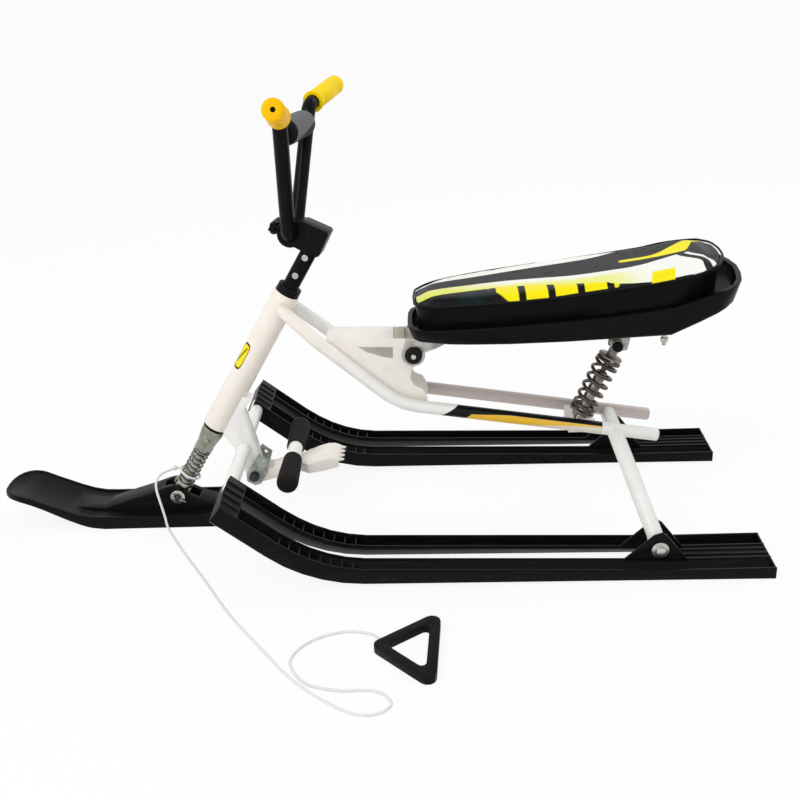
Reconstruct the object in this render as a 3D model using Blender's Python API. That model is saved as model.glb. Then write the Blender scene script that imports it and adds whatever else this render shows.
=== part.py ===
"""Steering sled: two side skis on a tube frame, a sprung seat, a steered and sprung front ski.

Metres, +Z up. The front is at -X, the rider's left at -Y, and the skis stand on Z = 0.
"""
import bpy
import bmesh
from math import acos, atan2, cos, degrees, pi, radians, sin, sqrt, tan
from mathutils import Matrix, Vector

# General clearances and wall thicknesses
GAP = 0.0003
RUNNING_GAP = 0.0006
SHEET = 0.0025
TUBE_BEVEL = 4
WIRE_BEVEL = 1

# Side skis
SKI_TAIL_X = 0.600
SKI_CENTRE_Y = 0.192
SKI_WIDTH = 0.102
SKI_HEIGHT = 0.018
SKI_FLAT_LENGTH = 0.150
SKI_RISE_LENGTH = 0.450
SKI_RISE_ANGLE = 0.0145
SKI_BEND_RADIUS = 0.2345
SKI_BEND_ANGLE = radians(38.5)
SKI_TIP_STRAIGHT = 0.1016
SKI_GROWTH = ((0.170, 1.0), (0.430, 1.24), (0.600, 1.31), (0.720, 1.555))
SKI_WALL = 0.003
SKI_FLOOR = 0.0035
SKI_SLOT_WIDTH = 0.034
SKI_LIP_UNDERSIDE = 0.0132
SKI_RUNNER_INNER = 0.031
SKI_TIP_BLOCK = 0.036
SKI_TAIL_WEB = 0.150
SKI_BOW = 0.006
RIB_COUNT = 8
RIB_PITCH = 0.0185
RIB_THICKNESS = 0.0022
RIB_START = 0.690
TIP_RIDGES = 4
CHEEK_LENGTH = 0.092
CHEEK_HEIGHT = 0.046
CHEEK_THICKNESS = 0.004

# Steering axis, from the front ski's bolt up to the stem
STEER_FOOT = Vector((-0.3155, 0.0, 0.0411))
STEER_TILT = radians(31.1)
HEAD_LOW = 0.1385
HEAD_LENGTH = 0.2565
HEAD_RADIUS = 0.0205
HEAD_WALL = 0.0025
COLUMN_RADIUS = 0.0127
COLUMN_BORE = 0.0102
COLUMN_ABOVE_HEAD = 0.078
BUSH_FLANGE_RADIUS = 0.0187
UPPER_FLANGE = 0.0120
LOWER_FLANGE = 0.0050
BUSH_SLEEVE = 0.020
CROWN_LENGTH = 0.0440
CROWN_TOP_RADIUS = 0.0180
CROWN_LOW_RADIUS = 0.0135
CROWN_COLLAR_RADIUS = 0.0150
CROWN_COLLAR = 0.0070
CROWN_FLOOR = 0.0050
COLUMN_BOLT_HEIGHTS = (0.035, 0.067)
COLUMN_BOLT_HEAD = 0.0050
COLUMN_BOLT_SHANK = 0.0028

# Front spring, slider and front ski
SLIDER_RADIUS = 0.0085
SLIDER_TOP = 0.250
SEAT_LOW = 0.0145
SEAT_RADIUS = 0.0143
SEAT_THICKNESS = 0.0080
FRONT_SPRING_RADIUS = 0.0123
FRONT_SPRING_WIRE = 0.0040
FRONT_SPRING_TURNS = 8
FRONT_SPRING_POINTS = 7
FRONT_BOLT_RADIUS = 0.0045
FRONT_WASHER_RADIUS = 0.0120
FRONT_WASHER = 0.0022
TONGUE_WIDTH = 0.020
TONGUE_LENGTH = 0.026
FRONT_SKI_TIP_X = -0.600
FRONT_SKI_TAIL_X = -0.206
FRONT_SKI_HALF = 0.050
FRONT_SKI_HEIGHT = 0.0215
FRONT_SKI_TIP_HEIGHT = 0.0060
FRONT_SKI_RISE = 0.0560
FRONT_SKI_RISE_START = -0.435
FRONT_SKI_RISE_LENGTH = 0.155
FRONT_SKI_RIM = 0.004
FRONT_SKI_RECESS = 0.003
HUMP_HALF = 0.0205
HUMP_TOP = 0.0600
HUMP_REAR = ((-0.3170, 0.0575), (-0.2960, 0.0430), (-0.2800, 0.0345), (-0.2550, 0.0245), (-0.2350, 0.0190))
HUMP_FRONT = ((-0.4400, 0.0225), (-0.4100, 0.0330), (-0.3600, 0.0485))
HUMP_CREST = (-0.3330, -0.3240)
HUMP_NOSE_X = -0.4900
HUMP_NOSE_RISE = 0.0120
HUMP_ROOT_Z = 0.0080
LEAF_OUTLINE = ((0.0, 0.0), (0.0030, 0.0050), (0.0012, 0.0062), (-0.0018, 0.0010))
LEAF_HALF = 0.0080

# Frame tubes
MAIN_RADIUS = 0.0100
MAIN_HALF_SPACING = 0.040
MAIN_TOP = Vector((-0.1240, 0.0245, 0.3640))
MAIN_SPREAD = Vector((-0.0640, MAIN_HALF_SPACING, 0.3101))
MAIN_CORNER = Vector((0.0562, MAIN_HALF_SPACING, 0.2051))
MAIN_END = Vector((0.4600, MAIN_HALF_SPACING, 0.1405))
MAIN_BEND = 0.110
CROSS_TUBE_RADIUS = 0.0110
CROSS_TUBE_X = -0.2005
CROSS_TUBE_Z = 0.1220
CROSS_TUBE_HALF = 0.1680
ARCH_RADIUS = 0.01225
ARCH_X = 0.3940
ARCH_Z = 0.1462
ARCH_SHOULDER_Y = 0.0520
ARCH_FOOT = Vector((0.4345, 0.1920, 0.0420))
ARCH_BEND = 0.036
ARCH_FOOT_LENGTH = 0.020
SKI_BOLT_RADIUS = 0.0050
SKI_WASHER_RADIUS = 0.0130
SKI_BOLT_X = 0.4366
SKI_BOLT_Z = 0.0345

# Strut and foot brake
STRUT_HALF = 0.0145
BRAKE_PIVOT = Vector((-0.1861, 0.0, 0.0744))
BRAKE_PIVOT_RADIUS = 0.0050
STRUT_FOOT_RADIUS = 0.0145
STRUT_TOP = 0.0720
STRUT_SHOULDER = (0.0255, -0.0145)
STRUT_REAR = ((-0.1960, 0.1880), (-0.1790, 0.1220))
STRUT_FRONT_STEP = 0.0145
BRAKE_HALF = 0.0300
BRAKE_FRONT_HALF = 0.0176
BRAKE_REAR_X = -0.0460
BRAKE_TOP = (
    (-0.0460, 0.1045), (-0.0550, 0.1078), (-0.0660, 0.1078), (-0.0800, 0.1040), (-0.0925, 0.0988),
    (-0.1105, 0.0960), (-0.1305, 0.0935), (-0.1540, 0.0866), (-0.1821, 0.0859))
BRAKE_UNDERSIDE = (
    (-0.1966, 0.0759), (-0.1921, 0.0644), (-0.1761, 0.0632), (-0.1479, 0.0703), (-0.1087, 0.0808),
    (-0.0710, 0.0866), (-0.0460, 0.0935))
BRAKE_FLARE = (-0.1085, -0.0960)
BRAKE_SIDE_PLATE = (
    (-0.1752, 0.1153), (-0.1589, 0.1020), (-0.1640, 0.0844), (-0.1760, 0.0615), (-0.1861, 0.0585),
    (-0.1985, 0.0660), (-0.1985, 0.0790), (-0.1850, 0.0990))
BRAKE_PLATE_SLOT = ((-0.1735, 0.1035), (-0.1705, 0.0985), (-0.1665, 0.0985), (-0.1680, 0.1035))
BRAKE_TOOTH = 0.0085
BRAKE_TEETH = 4
FOOT_TUBE_X = -0.1205
FOOT_TUBE_Z = 0.1050
FOOT_TUBE_RADIUS = 0.0120
PEG_RADIUS = 0.0172
PEG_INNER_RADIUS = 0.0150
PEG_INNER = 0.0215
PEG_LENGTH = 0.0920
PEG_GROOVES = 4

# Seat bracket and seat pivot
BRACKET_HALF = 0.0290
BRACKET_TOP_Z = 0.3120
BRACKET_FRONT_X = -0.0540
BRACKET_REAR_X = 0.0495
BLOCK_REAR_X = 0.0680
BLOCK_HEIGHT = 0.0205
BRACKET_TOP_DROP = 0.0030
BRACKET_LUG_RADIUS = 0.0135
BRACKET_HEEL = ((0.0765, 0.2560), (0.0745, 0.2420), (0.0800, 0.2310), (0.0930, 0.2250), (0.0990, 0.2140))
BRACKET_TOE_X = 0.1020
BRACKET_WINDOW = (
    (-0.0046, 0.2975), (0.0490, 0.2960), (0.0486, 0.2768), (0.0330, 0.2800), (0.0081, 0.2886))
SEAT_PIVOT = Vector((0.0805, 0.0, 0.2832))
SEAT_PIVOT_RADIUS = 0.0040
SEAT_BUSH_RADIUS = 0.0135
SEAT_BUSH = 0.0070
RAIL_LUG_RADIUS = 0.0185

# Seat tray and cushion
TRAY_WALL = 0.0025
TRAY_FLOOR_INSET = 0.0080
TRAY_LIP = 0.0070
TRAY_BOLT = Vector((0.4546, -0.0750, 0.0225))
TRAY_BOTTOM_START = Vector((0.0725, 0.0, 0.3104))
TRAY_BOTTOM_KINK = Vector((0.4600, 0.0, 0.3273))
TRAY_BOTTOM_SLOPE = tan(radians(24.5))
TRAY_OUTLINE = (
    (0.0725, 0.0000), (0.0730, 0.0300), (0.0765, 0.0480), (0.0850, 0.0590), (0.0990, 0.0665),
    (0.1300, 0.0795), (0.1600, 0.0865), (0.2200, 0.0960), (0.3050, 0.1025), (0.3780, 0.1040),
    (0.4600, 0.1045), (0.5050, 0.1035), (0.5300, 0.1010), (0.5430, 0.0965), (0.5540, 0.0870),
    (0.5640, 0.0670), (0.5705, 0.0350), (0.5735, 0.0000))
RIM_HEIGHTS = (
    (0.0725, 0.3320), (0.0995, 0.3333), (0.1219, 0.3363), (0.1811, 0.3429), (0.2395, 0.3484),
    (0.3261, 0.3559), (0.3833, 0.3607), (0.4404, 0.3664), (0.4547, 0.3694), (0.4690, 0.3742),
    (0.4832, 0.3794), (0.5122, 0.3871), (0.5400, 0.3950), (0.5735, 0.4025))
CUSHION_OUTLINE = (
    (0.0827, 0.0000), (0.0837, 0.0200), (0.0848, 0.0340), (0.0900, 0.0425), (0.0990, 0.0535),
    (0.1090, 0.0608), (0.1225, 0.0675), (0.1600, 0.0768), (0.2200, 0.0865), (0.3100, 0.0932),
    (0.4300, 0.0935), (0.4600, 0.0950), (0.4810, 0.0950), (0.5045, 0.0868), (0.5250, 0.0735), (0.5328, 0.0600), (0.5412, 0.0380), (0.5445, 0.0000))
PIPING_HEIGHTS = (
    (0.0827, 0.3655), (0.1000, 0.3674), (0.1300, 0.3717), (0.2200, 0.3803), (0.3100, 0.3890),
    (0.3700, 0.3958), (0.4300, 0.4040), (0.4600, 0.4089), (0.4900, 0.4150), (0.5445, 0.4275))
CUSHION_WAIST = 0.0050
CUSHION_CROWN = 0.0050

# Rear shock
SHOCK_TOP = Vector((0.3975, 0.0, 0.2786))
SHOCK_LOW = Vector((0.3425, 0.0, 0.1600))
SHOCK_EYE_RADIUS = 0.0100
SHOCK_EYE_HALF = 0.0100
SHOCK_BODY_RADIUS = 0.0090
SHOCK_ROD_RADIUS = 0.0045
SHOCK_BOLT_RADIUS = 0.0040
SHOCK_BUSH_RADIUS = 0.0080
SHOCK_DISC_RADIUS = 0.0208
SHOCK_DISC = 0.0030
SHOCK_SPRING_RADIUS = 0.0178
SHOCK_SPRING_WIRE = 0.0057
SHOCK_SPRING_TURNS = 7
SHOCK_SPRING_POINTS = 8
SHOCK_TRAVEL = 0.0252
SHOCK_BUMP_GAP = 0.0012

# Handlebar: its clamp stands above the head tube, and the rest is measured from the clamp
BAR_RADIUS = 0.0110
BAR_RISE = 0.08784
BAR_REACH = 0.03574
BAR_TURN = radians(-7.0)
BAR_CLAMP_HALF = 0.0280
BAR_SHOULDER = Vector((0.0155, 0.1020, 0.1777))
BAR_END = Vector((0.0359, 0.2200, 0.1990))
BAR_LOW_BEND = 0.018
BAR_HIGH_BEND = 0.022
CROSSBAR_RADIUS = 0.0080
CROSSBAR_RISE = 0.1544
PAD_RADIUS = 0.0218
PAD_HALF = 0.0660
PAD_SLIT = 0.0025
GRIP_RADIUS = 0.0152
GRIP_LENGTH = 0.1080
GRIP_FLANGE_RADIUS = 0.0178
GRIP_END_HOLE = 0.0040
GRIP_END_WALL = 0.0030
STEM_HALF = 0.0205
STEM_OUTLINE = (
    (-0.0043, 0.0195), (0.0227, 0.0190), (0.0567, 0.0035), (0.0592, -0.0005), (0.0422, -0.0330),
    (0.0367, -0.0345), (0.0077, -0.0200), (-0.0033, -0.0130))
CLAMP_SPLIT = Vector((-0.0288, 0.0, 0.0122))
CLAMP_EAR = 0.0330
CLAMP_EAR_HALF = 0.0062
CLAMP_BOLT_AT = 0.0260
CLAMP_BOLT_SPACING = 0.0240
CLAMP_RADIUS = 0.0195
CAP_BOLT_RADIUS = 0.0025
CAP_BOLT_HEAD = 0.0048

# Tow cord and its handle, lying on the ground
CORD_RADIUS = 0.0020
CORD_POINTS = 58
CORD_ROUTE = (
    (-0.3235, -0.0045, 0.0845), (-0.3385, -0.0150, 0.0815), (-0.3450, -0.0300, 0.0755),
    (-0.3425, -0.0450, 0.0665), (-0.3355, -0.0580, 0.0510), (-0.3295, -0.0645, 0.0295),
    (-0.3260, -0.0680, 0.0110), (-0.3170, -0.0800, 0.0023), (-0.2857, -0.1379, 0.0020),
    (-0.2400, -0.2173, 0.0020), (-0.1890, -0.3080, 0.0020), (-0.1346, -0.3883, 0.0020),
    (-0.0896, -0.4523, 0.0020), (-0.0457, -0.4975, 0.0020), (-0.0022, -0.5283, 0.0020),
    (0.0300, -0.5300, 0.0020), (0.0465, -0.5100, 0.0020), (0.0247, -0.4858, 0.0020),
    (-0.0242, -0.4829, 0.0020), (-0.0666, -0.4662, 0.0020), (-0.0900, -0.4210, 0.0020),
    (-0.0696, -0.3792, 0.0020), (-0.0263, -0.3566, 0.0020), (0.0090, -0.3610, 0.0030),
    (0.0240, -0.3745, 0.0055), (0.0335, -0.3895, 0.0060))
HANDLE_CORNERS = ((0.0144, -0.3970), (0.1125, -0.3209), (0.1024, -0.4900))
HANDLE_BAR_WIDTH = 0.0145
HANDLE_THICKNESS = 0.0120
KNOT_HEIGHT = 0.0395


def cleared_scene():
    """Remove every object, so that the script starts from an empty scene."""
    for old in list(bpy.data.objects):
        bpy.data.objects.remove(old)


cleared_scene()
SLED = bpy.data.collections.new("steering_sled")
bpy.context.scene.collection.children.link(SLED)


def paint(name, colour, roughness, metallic=0.0):
    """A Principled material with one plain colour."""
    material = bpy.data.materials.new(name)
    material.use_nodes = True
    shader = material.node_tree.nodes["Principled BSDF"]
    shader.inputs["Base Color"].default_value = (*colour, 1.0)
    shader.inputs["Roughness"].default_value = roughness
    shader.inputs["Metallic"].default_value = metallic
    material.diffuse_color = (*colour, 1.0)
    return material


WHITE_PAINT = (0.86, 0.85, 0.81)
BLACK_PAINT = (0.012, 0.012, 0.013)
BLACK_PLASTIC = (0.022, 0.022, 0.024)
RUBBER = (0.03, 0.028, 0.028)
ZINC = (0.52, 0.53, 0.50)
STEEL = (0.60, 0.60, 0.61)
YELLOW = (0.80, 0.68, 0.02)


# Shape helpers: each returns a bmesh in world coordinates

def steer_point(height, side=0.0, forward=0.0):
    """A point on the steering axis, moved sideways or forward square to it."""
    along = Vector((sin(STEER_TILT), 0.0, cos(STEER_TILT)))
    ahead = Vector((-cos(STEER_TILT), 0.0, sin(STEER_TILT)))
    return STEER_FOOT + along * height + ahead * forward + Vector((0.0, side, 0.0))


def askew(bm):
    """A solid turned about the steering axis with the bar, which is clamped out of square to the ski."""
    axis = steer_point(1.0) - steer_point(0.0)
    bmesh.ops.rotate(bm, cent=STEER_FOOT, matrix=Matrix.Rotation(BAR_TURN, 3, axis), verts=bm.verts)
    return bm


def turn_to(direction):
    """Rotation that takes +Z to a direction."""
    return Vector(direction).to_track_quat("Z", "Y").to_matrix().to_4x4()


def tidy(bm):
    """Weld doubles and point every face outwards."""
    bmesh.ops.remove_doubles(bm, verts=bm.verts, dist=1e-6)
    bmesh.ops.dissolve_degenerate(bm, edges=bm.edges, dist=1e-6)
    bmesh.ops.recalc_face_normals(bm, faces=bm.faces)
    return bm


def rod(start, end, radius, segments=16, end_radius=None):
    """A solid cylinder or cone between two points."""
    start, end = Vector(start), Vector(end)
    bm = bmesh.new()
    bmesh.ops.create_cone(bm, cap_ends=True, segments=segments, radius1=radius,
                          radius2=radius if end_radius is None else end_radius,
                          depth=(end - start).length)
    place = Matrix.Translation((start + end) / 2) @ turn_to(end - start)
    bmesh.ops.transform(bm, matrix=place, verts=bm.verts)
    return bm


def block(low, high):
    """A box between two corners."""
    low, high = Vector(low), Vector(high)
    size = high - low
    bm = bmesh.new()
    bmesh.ops.create_cube(bm, size=1.0)
    bmesh.ops.scale(bm, vec=size, verts=bm.verts)
    bmesh.ops.translate(bm, vec=(low + high) / 2, verts=bm.verts)
    return bm


def turned(start, direction, profile, segments=20):
    """A profile of (radius, height) points turned about an axis."""
    bm = bmesh.new()
    verts = [bm.verts.new((max(radius, 0.0), 0.0, height)) for radius, height in profile]
    closed = all(radius > 1e-7 for radius, _ in profile)
    edges = [bm.edges.new((a, b)) for a, b in zip(verts, verts[1:])]
    if closed:
        edges.append(bm.edges.new((verts[-1], verts[0])))
    bmesh.ops.spin(bm, geom=verts + edges, cent=(0, 0, 0), axis=(0, 0, 1),
                   angle=2 * pi, steps=segments, use_merge=True)
    place = Matrix.Translation(Vector(start)) @ turn_to(direction)
    bmesh.ops.transform(bm, matrix=place, verts=bm.verts)
    return tidy(bm)


def ring(start, direction, inner, outer, height, segments=20):
    """A plain turned ring."""
    profile = ((outer, height), (outer, 0.0), (inner, 0.0), (inner, height))
    return turned(start, direction, profile, segments)


def prism(outline, low, high, across="y"):
    """A flat outline pushed out between two planes. Outline points are (x, z) or (x, y)."""
    bm = bmesh.new()
    if across == "y":
        verts = [bm.verts.new((x, low, z)) for x, z in outline]
        push = Vector((0.0, high - low, 0.0))
    else:
        verts = [bm.verts.new((x, y, low)) for x, y in outline]
        push = Vector((0.0, 0.0, high - low))
    face = bm.faces.new(verts)
    grown = bmesh.ops.extrude_face_region(bm, geom=[face])
    moved = [item for item in grown["geom"] if isinstance(item, bmesh.types.BMVert)]
    bmesh.ops.translate(bm, vec=push, verts=moved)
    return tidy(bm)


def from_object(obj):
    """The evaluated mesh of an object, as a bmesh in world coordinates; the object is removed."""
    bpy.context.view_layer.update()
    graph = bpy.context.evaluated_depsgraph_get()
    mesh = bpy.data.meshes.new_from_object(obj.evaluated_get(graph))
    mesh.transform(obj.matrix_world)
    bm = bmesh.new()
    bm.from_mesh(mesh)
    bpy.data.meshes.remove(mesh)
    bpy.data.objects.remove(obj)
    return bm


def pipe(points, radius, bevel=TUBE_BEVEL):
    """A round tube along points, from a curve with a bevel and filled caps."""
    curve = bpy.data.curves.new("pipe", "CURVE")
    curve.dimensions = "3D"
    curve.bevel_depth = radius
    curve.bevel_resolution = bevel
    curve.use_fill_caps = True
    spline = curve.splines.new("POLY")
    spline.points.add(len(points) - 1)
    for point, place in zip(spline.points, points):
        point.co = (*place, 1.0)
    obj = bpy.data.objects.new("pipe", curve)
    bpy.context.scene.collection.objects.link(obj)
    return tidy(from_object(obj))


def combine(base, tools, operation):
    """Join tools to a solid, or cut them from it, with exact booleans."""
    def as_object(bm, name):
        mesh = bpy.data.meshes.new(name)
        bm.to_mesh(mesh)
        bm.free()
        obj = bpy.data.objects.new(name, mesh)
        bpy.context.scene.collection.objects.link(obj)
        return obj
    body = as_object(base, "base")
    helpers = [as_object(tool, "tool") for tool in tools]
    for helper in helpers:
        modifier = body.modifiers.new("combine", "BOOLEAN")
        modifier.operation = operation
        modifier.solver = "EXACT"
        modifier.object = helper
    result = from_object(body)
    for helper in helpers:
        bpy.data.objects.remove(helper)
    return tidy(result)


def joined(base, *tools):
    return combine(base, tools, "UNION")


def cut(base, *tools):
    return combine(base, tools, "DIFFERENCE")


def filleted(corners, radii, steps=5):
    """Corner points of a path, with each inner corner rounded by an arc."""
    path = [Vector(corners[0])]
    for index in range(1, len(corners) - 1):
        before, corner, after = (Vector(corners[index + step]) for step in (-1, 0, 1))
        back, ahead = (before - corner).normalized(), (after - corner).normalized()
        half = acos(max(-1.0, min(1.0, back.dot(ahead)))) / 2
        reach = min(radii[index - 1] / tan(half), 0.48 * min((before - corner).length,
                                                           (after - corner).length))
        radius = reach * tan(half)
        centre = corner + (back + ahead).normalized() * (radius / sin(half))
        start, end = corner + back * reach - centre, corner + ahead * reach - centre
        sweep = start.angle(end)
        for step in range(steps + 1):
            share = step / steps
            arm = (start * sin((1 - share) * sweep) + end * sin(share * sweep)) / sin(sweep)
            path.append(centre + arm)
    path.append(Vector(corners[-1]))
    return path


def smooth_path(route, count):
    """Evenly spaced points on a smooth curve through the route's points."""
    route = [Vector(point) for point in route]
    ends = [route[0] * 2 - route[1]] + route + [route[-1] * 2 - route[-2]]
    fine = []
    for index in range(1, len(ends) - 2):
        p0, p1, p2, p3 = ends[index - 1:index + 3]
        for step in range(24):
            t = step / 24
            fine.append(0.5 * ((2 * p1) + (p2 - p0) * t + (2 * p0 - 5 * p1 + 4 * p2 - p3) * t ** 2
                               + (3 * p1 - p0 - 3 * p2 + p3) * t ** 3))
    fine.append(route[-1])
    lengths = [0.0]
    for a, b in zip(fine, fine[1:]):
        lengths.append(lengths[-1] + (b - a).length)
    points, index = [], 0
    for number in range(count):
        target = lengths[-1] * number / (count - 1)
        while index < len(fine) - 2 and lengths[index + 1] < target:
            index += 1
        span = lengths[index + 1] - lengths[index]
        points.append(fine[index].lerp(fine[index + 1], (target - lengths[index]) / span))
    return points, lengths[-1]


def lookup(table, x):
    """A value read from a short table of (x, value) pairs."""
    if x <= table[0][0]:
        return table[0][1]
    for (x0, v0), (x1, v1) in zip(table, table[1:]):
        if x <= x1:
            return v0 + (v1 - v0) * (x - x0) / (x1 - x0)
    return table[-1][1]


def coil(start, end, radius, wire, turns, per_turn):
    """Points of a spring wire between two seats, its ends run straight for one wire diameter."""
    start, end = Vector(start), Vector(end)
    along = (end - start).normalized()
    side = Vector((0.0, 1.0, 0.0))
    front = along.cross(side).normalized()
    rise = (end - start).length - wire
    closed_pitch = wire + 0.0007
    open_pitch = (rise - 2 * closed_pitch) / (turns - 2)
    points = []
    for number in range(turns * per_turn + 1):
        turn = number / per_turn
        height = min(turn, 1.0) * closed_pitch
        height += max(0.0, min(turn, turns - 1.0) - 1.0) * open_pitch
        height += max(0.0, turn - (turns - 1.0)) * closed_pitch
        angle = 2 * pi * turn
        points.append(start + along * (wire / 2 + height)
                      + (front * cos(angle) + side * sin(angle)) * radius)
    lead_in, lead_out = points[0] - points[1], points[-1] - points[-2]
    lead_in = (lead_in - along * lead_in.dot(along)).normalized() * wire
    lead_out = (lead_out - along * lead_out.dot(along)).normalized() * wire
    return [points[0] + lead_in] + points + [points[-1] + lead_out]


def least_self_gap(points, wire, per_turn):
    """Least clear distance between one turn of a wire and the next."""
    skip = per_turn // 2
    least = min((points[i] - points[j]).length for i in range(len(points))
                for j in range(i + skip, len(points)))
    return least - wire


def build(name, bm, material, carrier=None):
    """Make a bmesh one of the sled's parts, carried by an empty where it moves."""
    mesh = bpy.data.meshes.new(name)
    origin = carrier.location if carrier else sum((v.co for v in bm.verts), Vector()) / len(bm.verts)
    bmesh.ops.translate(bm, vec=-origin, verts=bm.verts)
    bm.to_mesh(mesh)
    bm.free()
    mesh.materials.append(material)
    mesh.shade_smooth()
    mesh.set_sharp_from_angle(angle=radians(35))
    obj = bpy.data.objects.new(name, mesh)
    SLED.objects.link(obj)
    if carrier:
        obj.parent = carrier
    else:
        obj.location = origin
    return obj


def joint_empty(name, place):
    """An empty on a joint's axis, which carries what moves with it."""
    empty = bpy.data.objects.new(name, None)
    empty.location = place
    empty.empty_display_size = 0.03
    SLED.objects.link(empty)
    return empty


STEERING = joint_empty("steering_axis", steer_point(HEAD_LOW + HEAD_LENGTH))
SLIDER = joint_empty("fork_slider_axis", steer_point(0.0))
FRONT_PIVOT = joint_empty("front_ski_axis", STEER_FOOT)
BRAKE = joint_empty("brake_axis", BRAKE_PIVOT)
SEAT = joint_empty("seat_axis", SEAT_PIVOT)
SHOCK = joint_empty("shock_axis", SHOCK_LOW)
SHOCK_TUBE = joint_empty("shock_slide", SHOCK_TOP)


# Side skis, modelled straight and then bent up at the front

def ski_length():
    """Length of the straight ski, and the stations where its bend starts and ends."""
    start = SKI_FLAT_LENGTH + SKI_RISE_LENGTH
    end = start + SKI_BEND_RADIUS * (SKI_BEND_ANGLE - SKI_RISE_ANGLE)
    return end + SKI_TIP_STRAIGHT, start, end


def ski_point(along, across, up):
    """Place of a point of the straight ski once the ski is bent. along runs from the tail."""
    length, start, end = ski_length()
    up = up * lookup(SKI_GROWTH, along)
    if along > length - SKI_TIP_BLOCK:
        nearness = (along - (length - SKI_TIP_BLOCK)) / SKI_TIP_BLOCK
        along -= SKI_BOW * nearness * (2 * across / SKI_WIDTH) ** 2
    x, z, angle = SKI_TAIL_X - min(along, SKI_FLAT_LENGTH), 0.0, 0.0
    if along > SKI_FLAT_LENGTH:
        angle = SKI_RISE_ANGLE
        run = min(along, start) - SKI_FLAT_LENGTH
        x, z = x - run * cos(angle), z + run * sin(angle)
    if along > start:
        angle = SKI_RISE_ANGLE + (min(along, end) - start) / SKI_BEND_RADIUS
        x -= SKI_BEND_RADIUS * (sin(angle) - sin(SKI_RISE_ANGLE))
        z += SKI_BEND_RADIUS * (cos(SKI_RISE_ANGLE) - cos(angle))
    beyond = max(0.0, along - end)
    x, z = x - beyond * cos(angle), z + beyond * sin(angle)
    return Vector((x + up * sin(angle), across, z + up * cos(angle)))


def straight_box(along, across, up):
    """A box of the straight ski, given its three pairs of limits."""
    return block((along[0], across[0], up[0]), (along[1], across[1], up[1]))


def along_ski(section, start, end):
    """A section of (across, up) points pushed out along the straight ski."""
    bm = bmesh.new()
    face = bm.faces.new([bm.verts.new((start, across, up)) for across, up in section])
    grown = bmesh.ops.extrude_face_region(bm, geom=[face])
    moved = [item for item in grown["geom"] if isinstance(item, bmesh.types.BMVert)]
    bmesh.ops.translate(bm, vec=(end - start, 0.0, 0.0), verts=moved)
    return tidy(bm)


def ski_rail(side, length):
    """One rail: an open channel on a sloping floor, with a lip at the slot."""
    half = SKI_WIDTH / 2
    slot = SKI_SLOT_WIDTH / 2
    section = (
        (half, 0.0), (half, SKI_HEIGHT), (half - SKI_WALL, SKI_HEIGHT),
        (half - SKI_WALL, SKI_FLOOR), (SKI_RUNNER_INNER, SKI_FLOOR),
        (slot + SKI_WALL, SKI_LIP_UNDERSIDE + SKI_FLOOR * 0.7), (slot + SKI_WALL, SKI_HEIGHT),
        (slot, SKI_HEIGHT), (slot, SKI_LIP_UNDERSIDE), (SKI_RUNNER_INNER, 0.0))
    return along_ski([(side * across, up) for across, up in section], 0.0, length)


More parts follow.
